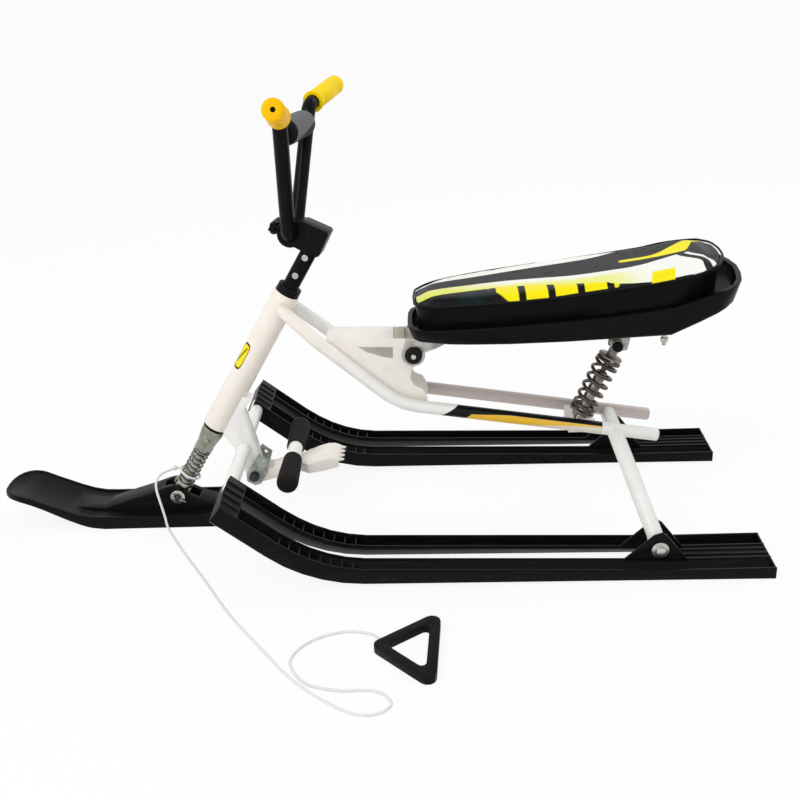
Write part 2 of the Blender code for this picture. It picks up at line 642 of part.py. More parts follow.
def side_ski(side):
    """A side ski: two ribbed rails, a solid tip, a tail web, mount cheeks and a tube notch."""
    length, bend_start, bend_end = ski_length()
    half = SKI_WIDTH / 2
    slot = SKI_SLOT_WIDTH / 2
    rail_end = length - SKI_TIP_BLOCK / 2
    tools = [ski_rail(-1, rail_end)]
    tools.append(straight_box((length - SKI_TIP_BLOCK, length), (-half, half), (0.0, SKI_HEIGHT)))
    web = (SKI_LIP_UNDERSIDE - 0.0005, SKI_LIP_UNDERSIDE + 0.0030)
    tools.append(straight_box((0.0005, SKI_TAIL_WEB), (-slot - 0.001, slot + 0.001), web))
    tools.append(straight_box((0.0004, SKI_WALL), (-slot - 0.001, slot + 0.001), (web[0], SKI_HEIGHT - 0.0004)))
    for ridge in range(2):
        centre = slot * (2 * ridge - 1) / 2.6
        tools.append(straight_box((0.0010, SKI_TAIL_WEB - 0.004), (centre - 0.0015, centre + 0.0015),
                                  (web[1] - 0.001, SKI_HEIGHT)))
    for ridge in range(TIP_RIDGES):
        centre = SKI_WIDTH * ((ridge + 1) / (TIP_RIDGES + 1) - 0.5)
        tools.append(straight_box((length - SKI_TIP_BLOCK + 0.003, length - 0.003),
                                  (centre - 0.002, centre + 0.002),
                                  (SKI_HEIGHT - 0.001, SKI_HEIGHT + 0.0012)))
    for rail in (-1, 1):
        inner, outer = rail * (slot + SKI_WALL / 2), rail * (half - SKI_WALL / 2)
        section = ((inner, SKI_LIP_UNDERSIDE + 0.0012), (rail * SKI_RUNNER_INNER, SKI_FLOOR * 0.4),
                   (outer, SKI_FLOOR * 0.4), (outer, SKI_HEIGHT - 0.0015), (inner, SKI_HEIGHT - 0.0015))
        end_wall = ((inner, SKI_LIP_UNDERSIDE + 0.0012), (rail * SKI_RUNNER_INNER, SKI_FLOOR * 0.4),
                    (outer, SKI_FLOOR * 0.4), (outer, SKI_HEIGHT - 0.0004), (inner, SKI_HEIGHT - 0.0004))
        tools.append(along_ski(end_wall, 0.0004, SKI_WALL))
        for number in range(RIB_COUNT):
            start = RIB_START + (number - RIB_COUNT / 2) * RIB_PITCH
            tools.append(along_ski(section, start, start + RIB_THICKNESS))
    for place in (-1, 1):
        centre = place * (slot + CHEEK_THICKNESS / 2)
        foot = SKI_TAIL_X - SKI_BOLT_X
        outline = ((foot + 0.56 * CHEEK_LENGTH, SKI_LIP_UNDERSIDE + 0.001),
                   (foot - 0.44 * CHEEK_LENGTH, SKI_LIP_UNDERSIDE + 0.001),
                   (foot - 0.44 * CHEEK_LENGTH, SKI_HEIGHT),
                   (foot - 0.008, SKI_HEIGHT + 0.88 * CHEEK_HEIGHT),
                   (foot - 0.002, SKI_HEIGHT + 0.95 * CHEEK_HEIGHT),
                   (foot + 0.010, SKI_HEIGHT + 0.86 * CHEEK_HEIGHT),
                   (foot + 0.56 * CHEEK_LENGTH, SKI_HEIGHT))
        tools.append(prism(outline, centre - CHEEK_THICKNESS / 2, centre + CHEEK_THICKNESS / 2))
    body = joined(ski_rail(1, rail_end), *tools)
    stations = [length - SKI_TIP_BLOCK, SKI_FLAT_LENGTH] + [along for along, _ in SKI_GROWTH]
    stations += [bend_start + (bend_end - bend_start) * step / 5 for step in range(1, 6)]
    for station in stations:
        bmesh.ops.bisect_plane(body, geom=body.verts[:] + body.edges[:] + body.faces[:],
                               plane_co=(station, 0, 0), plane_no=(1, 0, 0))
    bmesh.ops.triangulate(body, faces=body.faces)
    for vert in body.verts:
        vert.co = ski_point(*vert.co) + Vector((0.0, side * SKI_CENTRE_Y, 0.0))
    tidy(body)
    reach = SKI_WIDTH / 2 + 0.010
    inner_y = side * (SKI_CENTRE_Y - reach)
    hole_y = side * SKI_CENTRE_Y
    tube_hole = rod((CROSS_TUBE_X, inner_y, CROSS_TUBE_Z),
                    (CROSS_TUBE_X, side * (CROSS_TUBE_HALF + GAP), CROSS_TUBE_Z),
                    CROSS_TUBE_RADIUS + GAP, 20)
    drop = Vector((-sin(SKI_BEND_ANGLE), 0.0, -cos(SKI_BEND_ANGLE))) * 0.03
    notch_way = rod((CROSS_TUBE_X, inner_y, CROSS_TUBE_Z), (CROSS_TUBE_X, side * (
        CROSS_TUBE_HALF + GAP), CROSS_TUBE_Z), CROSS_TUBE_RADIUS * 0.9, 20)
    bmesh.ops.translate(notch_way, vec=drop * 0.35, verts=notch_way.verts)
    bolt_hole = rod((SKI_BOLT_X, hole_y - reach, SKI_BOLT_Z), (SKI_BOLT_X, hole_y + reach, SKI_BOLT_Z),
                    SKI_BOLT_RADIUS + GAP, 16)
    return cut(body, tube_hole, notch_way, bolt_hole, arch_tube(2 * GAP))


def make_side_skis():
    plastic = paint("ski_black_plastic", BLACK_PLASTIC, 0.42)
    for side, name in ((-1, "side_ski_left"), (1, "side_ski_right")):
        build(name, side_ski(side), plastic)


# Frame

def main_tube(side):
    """A main tube, from the head tube's flank back to its open end above the side skis."""
    corners = [Vector((place.x, side * place.y, place.z))
               for place in (MAIN_TOP, MAIN_SPREAD, MAIN_CORNER, MAIN_END)]
    tube = pipe(filleted(corners, (0.08, MAIN_BEND)), MAIN_RADIUS)
    return cut(tube, head_cutter())


def main_axis_z(x):
    """Height of the main tubes' rear run at an x."""
    share = (x - MAIN_CORNER.x) / (MAIN_END.x - MAIN_CORNER.x)
    return MAIN_CORNER.z + share * (MAIN_END.z - MAIN_CORNER.z)


def head_cutter(extra=GAP):
    """The space that the head tube takes."""
    low = steer_point(HEAD_LOW - 0.010)
    high = steer_point(HEAD_LOW + HEAD_LENGTH + 0.010)
    return rod(low, high, HEAD_RADIUS + extra, 24)


def make_frame_tubes():
    white = paint("white_frame_paint", WHITE_PAINT, 0.35)
    axis = steer_point(1.0) - steer_point(0.0)
    build("head_tube", ring(steer_point(HEAD_LOW), axis, HEAD_RADIUS - HEAD_WALL, HEAD_RADIUS,
                            HEAD_LENGTH, 24), white)
    for side, name in ((-1, "main_tube_left"), (1, "main_tube_right")):
        build(name, main_tube(side), white)
    build("front_cross_tube", rod((CROSS_TUBE_X, -CROSS_TUBE_HALF, CROSS_TUBE_Z),
                                  (CROSS_TUBE_X, CROSS_TUBE_HALF, CROSS_TUBE_Z),
                                  CROSS_TUBE_RADIUS, 20), white)
    black = paint("plug_black", BLACK_PLASTIC, 0.5)
    direction = (MAIN_END - MAIN_CORNER).normalized()
    for side, name in ((-1, "tube_plug_left"), (1, "tube_plug_right")):
        seat = Vector((MAIN_END.x, side * MAIN_END.y, MAIN_END.z)) + direction * GAP
        build(name, turned(seat, direction, ((0.0, 0.0015), (MAIN_RADIUS * 0.72, 0.0015),
                                             (MAIN_RADIUS * 0.90, 0.0), (0.0, 0.0)), 16), black)


def arch_tube(extra=0.0):
    """The rear arch's tube, from foot to foot."""
    foot = ARCH_FOOT
    shoulder = Vector((ARCH_X, ARCH_SHOULDER_Y, ARCH_Z))
    half = [Vector((foot.x, foot.y, foot.z - ARCH_FOOT_LENGTH)), foot, shoulder]
    corners = [Vector((p.x, -p.y, p.z)) for p in half] + [p.copy() for p in reversed(half)]
    path = filleted(corners, (0.020, ARCH_BEND, ARCH_BEND, 0.020), 3)
    return pipe(path, ARCH_RADIUS + extra, 3)


def make_rear_arch():
    """The bent tube that stands on both side skis and carries the main tubes."""
    white = paint("white_arch_paint", WHITE_PAINT, 0.35)
    cutters = []
    for side in (-1, 1):
        start = Vector((MAIN_CORNER.x + 0.1, side * MAIN_HALF_SPACING, main_axis_z(MAIN_CORNER.x + 0.1)))
        end = Vector((MAIN_END.x, side * MAIN_HALF_SPACING, MAIN_END.z))
        cutters.append(rod(start, end, MAIN_RADIUS + GAP, 20))
        cutters.append(rod((SKI_BOLT_X, side * SKI_CENTRE_Y - 0.05, SKI_BOLT_Z),
                           (SKI_BOLT_X, side * SKI_CENTRE_Y + 0.05, SKI_BOLT_Z), SKI_BOLT_RADIUS + GAP, 16))
    build("rear_arch", cut(arch_tube(), *cutters), white)


def make_ski_bolts():
    """Through bolts that hold the arch's feet between the cheeks of the side skis."""
    zinc = paint("zinc_bolts", ZINC, 0.3, 1.0)
    reach = SKI_SLOT_WIDTH / 2 + CHEEK_THICKNESS
    for side, name in ((-1, "ski_bolt_left"), (1, "ski_bolt_right")):
        centre = Vector((SKI_BOLT_X, side * SKI_CENTRE_Y, SKI_BOLT_Z))
        out = Vector((0.0, float(side), 0.0))
        shank = rod(centre - out * (reach + 0.008), centre + out * (reach + 0.008), SKI_BOLT_RADIUS, 16)
        washer = rod(centre + out * (reach + GAP), centre + out * (reach + 0.0023), SKI_WASHER_RADIUS, 20)
        head = rod(centre + out * (reach + 0.0020), centre + out * (reach + 0.008), 0.0080, 6)
        nut = rod(centre - out * (reach + 0.0070), centre - out * (reach + GAP), 0.0080, 6)
        build(name, joined(shank, washer, head, nut), zinc)


def make_strut():
    """The folded channel under the head tube, which holds the cross tube and the brake's pivot."""
    white = paint("white_strut_paint", WHITE_PAINT, 0.35)
    foot = [(BRAKE_PIVOT.x + STRUT_FOOT_RADIUS * cos(radians(a)), BRAKE_PIVOT.z + STRUT_FOOT_RADIUS * sin(radians(a)))
            for a in range(10, -191, -25)]
    crown = steer_point(HEAD_LOW + 0.004)
    upper = steer_point(HEAD_LOW + STRUT_TOP)
    outline = [(upper.x, upper.z), (upper.x + STRUT_SHOULDER[0], upper.z + STRUT_SHOULDER[1])] + list(STRUT_REAR)
    outline += foot + [(CROSS_TUBE_X - STRUT_FRONT_STEP, CROSS_TUBE_Z + 0.002), (crown.x, crown.z)]
    solid = prism(outline, -STRUT_HALF, STRUT_HALF)
    inner = prism([(x - SHEET * 1.4, z - 0.0015) for x, z in outline], -STRUT_HALF + SHEET, STRUT_HALF - SHEET)
    lower = block((BRAKE_PIVOT.x - 0.05, -STRUT_HALF + SHEET, BRAKE_PIVOT.z - 0.03),
                  (BRAKE_PIVOT.x + 0.05, STRUT_HALF - SHEET, BRAKE_PIVOT.z + 0.012))
    reach = STRUT_HALF + 0.02
    tube_hole = rod((CROSS_TUBE_X, -reach, CROSS_TUBE_Z), (CROSS_TUBE_X, reach, CROSS_TUBE_Z),
                    CROSS_TUBE_RADIUS + GAP, 20)
    pivot_hole = rod((BRAKE_PIVOT.x, -reach, BRAKE_PIVOT.z), (BRAKE_PIVOT.x, reach, BRAKE_PIVOT.z),
                     BRAKE_PIVOT_RADIUS + GAP, 20)
    bush_space = rod(steer_point(HEAD_LOW - 0.020), steer_point(HEAD_LOW + 0.001), CROWN_TOP_RADIUS + 0.004, 20)
    build("front_strut", cut(solid, inner, lower, tube_hole, pivot_hole, head_cutter(), bush_space), white)


def tube_line_z(x):
    """Height of the main tubes' sloping run at an x, before the bend."""
    slope = (MAIN_CORNER.z - MAIN_SPREAD.z) / (MAIN_CORNER.x - MAIN_SPREAD.x)
    return MAIN_SPREAD.z + slope * (x - MAIN_SPREAD.x)


def make_seat_bracket():
    """The folded sheet between the main tubes that carries the seat's pivot."""
    white = paint("white_bracket_paint", WHITE_PAINT, 0.35)
    lug = [(SEAT_PIVOT.x + BRACKET_LUG_RADIUS * cos(radians(a)), SEAT_PIVOT.z + BRACKET_LUG_RADIUS * sin(radians(a)))
           for a in (60, 30, 0, -30, -60)]
    outline = [(BRACKET_FRONT_X, BRACKET_TOP_Z), (BLOCK_REAR_X, BRACKET_TOP_Z - BRACKET_TOP_DROP)]
    outline += lug + list(BRACKET_HEEL)
    outline += [(BRACKET_TOE_X, main_axis_z(BRACKET_TOE_X) - 0.004), (MAIN_CORNER.x, MAIN_CORNER.z - 0.001),
                (BRACKET_FRONT_X + 0.006, tube_line_z(BRACKET_FRONT_X + 0.006) - 0.002)]
    solid = prism(outline, -BRACKET_HALF, BRACKET_HALF)
    inner = block((BRACKET_FRONT_X - 0.03, -BRACKET_HALF + SHEET, MAIN_END.z),
                  (BRACKET_TOE_X + 0.03, BRACKET_HALF - SHEET, BRACKET_TOP_Z - SHEET - BRACKET_TOP_DROP))
    window = prism(BRACKET_WINDOW, -BRACKET_HALF - 0.02, BRACKET_HALF + 0.02)
    pivot_hole = rod((SEAT_PIVOT.x, -0.05, SEAT_PIVOT.z), (SEAT_PIVOT.x, 0.05, SEAT_PIVOT.z),
                     SEAT_PIVOT_RADIUS + GAP, 16)
    open_end = block((BRACKET_REAR_X, -BRACKET_HALF + SHEET, MAIN_END.z),
                     (BRACKET_TOE_X + 0.03, BRACKET_HALF - SHEET, BRACKET_TOP_Z + 0.010))
    cutters = [inner, open_end, window, pivot_hole, head_cutter(GAP + 0.001)]
    for side in (-1, 1):
        corners = [Vector((place.x, side * place.y, place.z))
                   for place in (MAIN_TOP, MAIN_SPREAD, MAIN_CORNER, MAIN_END)]
        cutters.append(pipe(filleted(corners, (0.08, MAIN_BEND)), MAIN_RADIUS + 2 * GAP))
    build("seat_bracket", cut(solid, *cutters), white)
    beige = paint("bracket_end_block", (0.55, 0.53, 0.42), 0.5)
    half = BRACKET_HALF - SHEET - GAP
    low = (BRACKET_REAR_X + GAP, -half, BRACKET_TOP_Z - BLOCK_HEIGHT)
    high = (BLOCK_REAR_X - 0.0005, half, BRACKET_TOP_Z - BRACKET_TOP_DROP)
    build("bracket_stop_block", block(low, high), beige)


def make_shock_mount():
    """The cross plate between the main tubes, with the two ears of the shock's lower bolt."""
    white = paint("white_plate_paint", WHITE_PAINT, 0.4)
    half = MAIN_HALF_SPACING - MAIN_RADIUS - GAP * 2
    centre = SHOCK_LOW
    z = main_axis_z(centre.x)
    plate = block((centre.x - 0.021, -half, z - 0.0160), (centre.x + 0.021, half, z - 0.0130))
    cutters = []
    ears = []
    for side in (-1, 1):
        wall_low, wall_high = sorted((side * half, side * (half - 0.0030)))
        ears.append(block((centre.x - 0.021, wall_low, z - 0.0160), (centre.x + 0.021, wall_high, z + 0.006)))
        ear_low, ear_high = sorted((side * 0.0110, side * 0.0140))
        arc = [(centre.x + 0.0068 * cos(radians(a)), centre.z + 0.0068 * sin(radians(a)))
               for a in range(0, 181, 30)]
        foot = [(centre.x - 0.0120, z - 0.0145), (centre.x + 0.0120, z - 0.0145)]
        ears.append(prism(arc + foot, ear_low, ear_high))
    cutters.append(rod((centre.x, -half - 0.01, centre.z), (centre.x, half + 0.01, centre.z),
                       SHOCK_BOLT_RADIUS + GAP, 16))
    build("shock_cross_plate", cut(joined(plate, *ears), *cutters), white)
    zinc = paint("shock_bolt_zinc", ZINC, 0.3, 1.0)
    reach = 0.0140
    bolt = joined(rod((centre.x, -reach - 0.0040, centre.z), (centre.x, reach + 0.0050, centre.z), SHOCK_BOLT_RADIUS, 16),
                  rod((centre.x, -reach - 0.0045, centre.z), (centre.x, -reach - GAP, centre.z), 0.0065, 6),
                  rod((centre.x, reach + GAP, centre.z), (centre.x, reach + 0.0045, centre.z), 0.0065, 6))
    build("shock_bolt_lower", bolt, zinc)


# Steering: bushes, column, stem, bar, grips and pad

def make_head_bushes():
    black = paint("bush_black", BLACK_PLASTIC, 0.4)
    axis = steer_point(1.0) - steer_point(0.0)
    bore = COLUMN_RADIUS + GAP
    sleeve = HEAD_RADIUS - HEAD_WALL - GAP
    top = HEAD_LOW + HEAD_LENGTH + GAP
    profile = ((BUSH_FLANGE_RADIUS, UPPER_FLANGE), (BUSH_FLANGE_RADIUS, 0.0), (sleeve, 0.0),
               (sleeve, -BUSH_SLEEVE), (bore, -BUSH_SLEEVE), (bore, UPPER_FLANGE))
    build("upper_bush", turned(steer_point(top), axis, profile, 20), black)
    low = HEAD_LOW - GAP
    profile = ((sleeve, BUSH_SLEEVE), (sleeve, 0.0), (BUSH_FLANGE_RADIUS, 0.0),
               (BUSH_FLANGE_RADIUS, -LOWER_FLANGE), (bore, -LOWER_FLANGE), (bore, BUSH_SLEEVE))
    build("lower_bush", turned(steer_point(low), axis, profile, 20), black)


def column_limits():
    """Heights of the column's lower and upper ends on the steering axis."""
    crown_low = HEAD_LOW - 2 * GAP - LOWER_FLANGE - CROWN_LENGTH
    return crown_low + CROWN_FLOOR + GAP, HEAD_LOW + HEAD_LENGTH + COLUMN_ABOVE_HEAD


def make_column():
    black = paint("column_black", BLACK_PAINT, 0.25)
    axis = steer_point(1.0) - steer_point(0.0)
    low, high = column_limits()
    column = ring(steer_point(low), axis, COLUMN_BORE, COLUMN_RADIUS, high - low, 20)
    holes = []
    steel = paint("column_bolt_steel", STEEL, 0.25, 1.0)
    head_top = HEAD_LOW + HEAD_LENGTH
    for number, height in enumerate(COLUMN_BOLT_HEIGHTS):
        near = steer_point(head_top + height, -COLUMN_RADIUS - 0.0035)
        far = steer_point(head_top + height, COLUMN_RADIUS + 0.0035)
        holes.append(rod(near, far, COLUMN_BOLT_SHANK + GAP, 12))
        out = Vector((0.0, 1.0, 0.0))
        flank = COLUMN_RADIUS + GAP
        centre = steer_point(head_top + height)
        bolt = joined(rod(centre - out * (flank + 0.002), centre + out * (flank + 0.003), COLUMN_BOLT_SHANK, 12),
                      rod(centre - out * (flank + 0.0028), centre - out * flank, COLUMN_BOLT_HEAD, 16, 0.0048),
                      rod(centre + out * flank, centre + out * (flank + 0.0035), COLUMN_BOLT_HEAD, 6))
        build(("column_bolt_lower", "column_bolt_upper")[number], askew(bolt), steel, STEERING)
    build("steering_column", askew(cut(column, *holes)), black, STEERING)


def make_crown():
    """The stamped crown that closes the column's foot and guides the slider."""
    zinc = paint("crown_zinc", ZINC, 0.35, 1.0)
    axis = steer_point(1.0) - steer_point(0.0)
    low = HEAD_LOW - 2 * GAP - LOWER_FLANGE - CROWN_LENGTH
    bore = COLUMN_RADIUS + GAP
    guide = SLIDER_RADIUS + GAP
    profile = ((CROWN_TOP_RADIUS, CROWN_LENGTH), (CROWN_TOP_RADIUS, CROWN_LENGTH - 0.010),
               (CROWN_LOW_RADIUS + 0.0008, CROWN_COLLAR + 0.004), (CROWN_COLLAR_RADIUS, CROWN_COLLAR),
               (CROWN_COLLAR_RADIUS, 0.0), (guide, 0.0), (guide, CROWN_FLOOR), (bore, CROWN_FLOOR),
               (bore, CROWN_LENGTH))
    build("fork_crown", turned(steer_point(low), axis, profile, 20), zinc, STEERING)
    steel = paint("crown_rivet_steel", STEEL, 0.3, 1.0)
    place = steer_point(low + 0.024, -CROWN_TOP_RADIUS + 0.0008)
    out = Vector((0.0, -1.0, 0.0))
    build("crown_rivet", rod(place, place + out * 0.0024, 0.0042, 14, 0.0030), steel, STEERING)


def bar_centre():
    """Middle of the bar in its clamp."""
    return steer_point(HEAD_LOW + HEAD_LENGTH + BAR_RISE, 0.0, BAR_REACH)


def make_stem():
    black = paint("stem_black", BLACK_PAINT, 0.3)
    centre = bar_centre()
    side = Vector((0.0, STEM_HALF, 0.0))
    body = prism([(centre.x + x, centre.z + z) for x, z in STEM_OUTLINE], -STEM_HALF, STEM_HALF)
    clamp = rod(centre - side, centre + side, CLAMP_RADIUS, 20)
    split = CLAMP_SPLIT.normalized()
    square = Vector((split.z, 0.0, -split.x))
    ear_far = centre + split * CLAMP_EAR
    ear_half = CLAMP_EAR_HALF
    gap_half = 0.0009

    def ear(offset):
        """One ear of the clamp, on one side of the split."""
        near = centre + split * 0.008
        first, last = offset * gap_half, offset * ear_half
        corners = (near + square * first, ear_far + square * first, ear_far + square * last, near + square * last)
        return prism([(c.x, c.z) for c in corners], -STEM_HALF, STEM_HALF)

    bar_space = pipe(bar_path(), BAR_RADIUS + 2 * GAP, 3)
    low, high = column_limits()
    column_space = rod(steer_point(low), steer_point(high + GAP), COLUMN_RADIUS + GAP, 20)
    corners = (centre + square * gap_half, centre + split * 0.05 + square * gap_half,
               centre + split * 0.05 - square * gap_half, centre - square * gap_half)
    slot = prism([(c.x, c.z) for c in corners], -STEM_HALF - 0.01, STEM_HALF + 0.01)
    bolt_spaces = []
    bolts = []
    for place in (-1, 1):
        hub = centre + split * CLAMP_BOLT_AT + Vector((0.0, place * CLAMP_BOLT_SPACING / 2, 0.0))
        top, foot = hub + square * (ear_half + 0.0050), hub - square * (ear_half + 0.0050)
        bolt_spaces.append(rod(foot, top, CAP_BOLT_RADIUS + GAP, 12))
        bolts.append(joined(rod(hub - square * (ear_half + 0.0046), hub + square * (ear_half + 0.003), CAP_BOLT_RADIUS, 12),
                            rod(hub + square * (ear_half + GAP), hub + square * (ear_half + 0.0040), CAP_BOLT_HEAD, 16),
                            rod(hub - square * (ear_half + 0.0036), hub - square * (ear_half + GAP), CAP_BOLT_HEAD, 6)))
    stem = joined(body, clamp, ear(1), ear(-1))
    build("stem", askew(cut(stem, bar_space, slot, column_space, *bolt_spaces)), black, STEERING)
    steel = paint("clamp_bolt_steel", (0.05, 0.05, 0.05), 0.3, 1.0)
    for name, bolt in zip(("clamp_bolt_left", "clamp_bolt_right"), bolts):
        build(name, askew(bolt), steel, STEERING)


def bar_path():
    """The handlebar's centre line from the left end to the right."""
    centre = bar_centre()
    half = [centre + BAR_END, centre + BAR_SHOULDER, centre + Vector((0.0, BAR_CLAMP_HALF, 0.0))]
    left = [Vector((p.x, -p.y, p.z)) for p in half]
    corners = left + [p.copy() for p in reversed(half)]
    return filleted(corners, (BAR_HIGH_BEND, BAR_LOW_BEND, BAR_LOW_BEND, BAR_HIGH_BEND), 3)


def make_handlebar():
    black = paint("handlebar_black", BLACK_PAINT, 0.25)
    bar = pipe(bar_path(), BAR_RADIUS, 3)
    bar_at = bar_centre()
    riser_foot = bar_at + Vector((0.0, BAR_CLAMP_HALF, 0.0))
    place = riser_foot.lerp(bar_at + BAR_SHOULDER, CROSSBAR_RISE / BAR_SHOULDER.z)
    crossbar = rod((place.x, -place.y, place.z), (place.x, place.y, place.z), CROSSBAR_RADIUS, 16)
    build("handlebar", askew(joined(bar, crossbar)), black, STEERING)
    grey = paint("pad_grey", (0.28, 0.28, 0.29), 0.75)
    profile = ((PAD_RADIUS * 0.80, PAD_HALF), (PAD_RADIUS, PAD_HALF - 0.004), (PAD_RADIUS, -PAD_HALF + 0.004),
               (PAD_RADIUS * 0.80, -PAD_HALF), (CROSSBAR_RADIUS + GAP, -PAD_HALF), (CROSSBAR_RADIUS + GAP, PAD_HALF))
    centre = Vector((place.x, 0.0, place.z))
    pad = turned(centre, (0.0, 1.0, 0.0), profile, 20)
    slit = block((centre.x - PAD_SLIT / 2, -PAD_HALF - 0.01, centre.z - PAD_RADIUS - 0.01),
                 (centre.x + PAD_SLIT / 2, PAD_HALF + 0.01, centre.z - CROSSBAR_RADIUS * 0.5))
    build("crossbar_pad", askew(cut(pad, slit)), grey, STEERING)
    yellow = paint("grip_yellow", YELLOW, 0.55)
    for side, name in ((-1, "grip_left"), (1, "grip_right")):
        end = bar_at + Vector((BAR_END.x, side * BAR_END.y, BAR_END.z))
        shoulder = bar_at + Vector((BAR_SHOULDER.x, side * BAR_SHOULDER.y, BAR_SHOULDER.z))
        inward = (shoulder - end).normalized()
        bore = BAR_RADIUS + GAP
        outer_end = -GAP - GRIP_END_WALL
        profile = ((GRIP_END_HOLE, outer_end), (GRIP_RADIUS * 0.72, outer_end), (GRIP_RADIUS, outer_end + 0.005),
                   (GRIP_RADIUS, GRIP_LENGTH - 0.014), (GRIP_FLANGE_RADIUS, GRIP_LENGTH - 0.008),
                   (GRIP_FLANGE_RADIUS, GRIP_LENGTH - 0.003), (bore, GRIP_LENGTH - 0.003), (bore, -GAP),
                   (GRIP_END_HOLE, -GAP))
        build(name, askew(turned(end, inward, profile, 20)), yellow, STEERING)


# Front suspension and front ski

def make_slider():
    zinc = paint("slider_zinc", ZINC, 0.3, 1.0)
    spring_seat = rod(steer_point(SEAT_LOW), steer_point(SEAT_LOW + SEAT_THICKNESS), SEAT_RADIUS, 20)
    shaft = rod(steer_point(SEAT_LOW + 0.001), steer_point(SLIDER_TOP), SLIDER_RADIUS, 20)
    outline = [steer_point(up, 0.0, ahead) for up, ahead in (
        (-0.0100, -0.40 * TONGUE_LENGTH), (-0.0100, 0.40 * TONGUE_LENGTH),
        (SEAT_LOW + 0.002, 0.50 * TONGUE_LENGTH), (SEAT_LOW + 0.002, -0.50 * TONGUE_LENGTH))]
    tongue = prism([(p.x, p.z) for p in outline], -TONGUE_WIDTH / 2, TONGUE_WIDTH / 2)
    slider = joined(spring_seat, shaft, tongue)
    reach = Vector((0.0, 0.04, 0.0))
    bolt_space = rod(STEER_FOOT - reach, STEER_FOOT + reach, FRONT_BOLT_RADIUS + GAP, 16)
    build("fork_slider", cut(slider, bolt_space), zinc, SLIDER)
    spring_low = SEAT_LOW + SEAT_THICKNESS + GAP
    spring_high = HEAD_LOW - 3 * GAP - LOWER_FLANGE - CROWN_LENGTH
    points = coil(steer_point(spring_low), steer_point(spring_high), FRONT_SPRING_RADIUS, FRONT_SPRING_WIRE,
                  FRONT_SPRING_TURNS, FRONT_SPRING_POINTS)
    gap = least_self_gap(points, FRONT_SPRING_WIRE, FRONT_SPRING_POINTS)
    print("front spring least gap to itself: %.2f mm" % (1000 * gap))
    steel = paint("front_spring_steel", STEEL, 0.3, 1.0)
    build("front_spring", pipe(points, FRONT_SPRING_WIRE / 2, WIRE_BEVEL), steel, SLIDER)


def front_sole_z(x):
    """Height of the front ski's sole at an x: flat, then a smooth rise to the tip."""
    share = max(0.0, min(1.0, (FRONT_SKI_RISE_START - x) / FRONT_SKI_RISE_LENGTH))
    return FRONT_SKI_RISE * share * share * (3 - 2 * share)


def front_wall(x):
    """Height of the front ski's side wall at an x."""
    share = max(0.0, min(1.0, (FRONT_SKI_RISE_START - 0.005 - x) / 0.090))
    return FRONT_SKI_HEIGHT + share * (0.0110 - FRONT_SKI_HEIGHT) - max(0.0, -0.555 - x) * (
        (0.0110 - FRONT_SKI_TIP_HEIGHT) / 0.045)


def front_ski_plan(inset):
    """Plan outline of the front ski, from tip to tail and back, inset from its edge."""
    half = FRONT_SKI_HALF - inset
    tip, tail = FRONT_SKI_TIP_X + inset, FRONT_SKI_TAIL_X - inset
    right = []
    for a in range(0, 91, 15):
        right.append((tip + 0.042 - 0.042 * cos(radians(a)), half * sin(radians(a)) ** 0.72 if a else 0.0))
    steps = (FRONT_SKI_RISE_START, -0.465, -0.495, -0.525)
    right += [(x, half) for x in sorted(steps)]
    for a in range(90, -1, -18):
        right.append((tail - 0.034 + 0.034 * cos(radians(a)), half * sin(radians(a)) ** 0.8 if a else 0.0))
    left = [(x, -y) for x, y in reversed(right[1:-1])]
    return right + left


def bent_front(bm):
    """Give a straight front-ski body its rise: z is a share of the local wall height."""
    for vert in bm.verts:
        x, y, up = vert.co
        vert.co = (x, y, front_sole_z(x) + up * front_wall(x) / FRONT_SKI_HEIGHT)
    return tidy(bm)


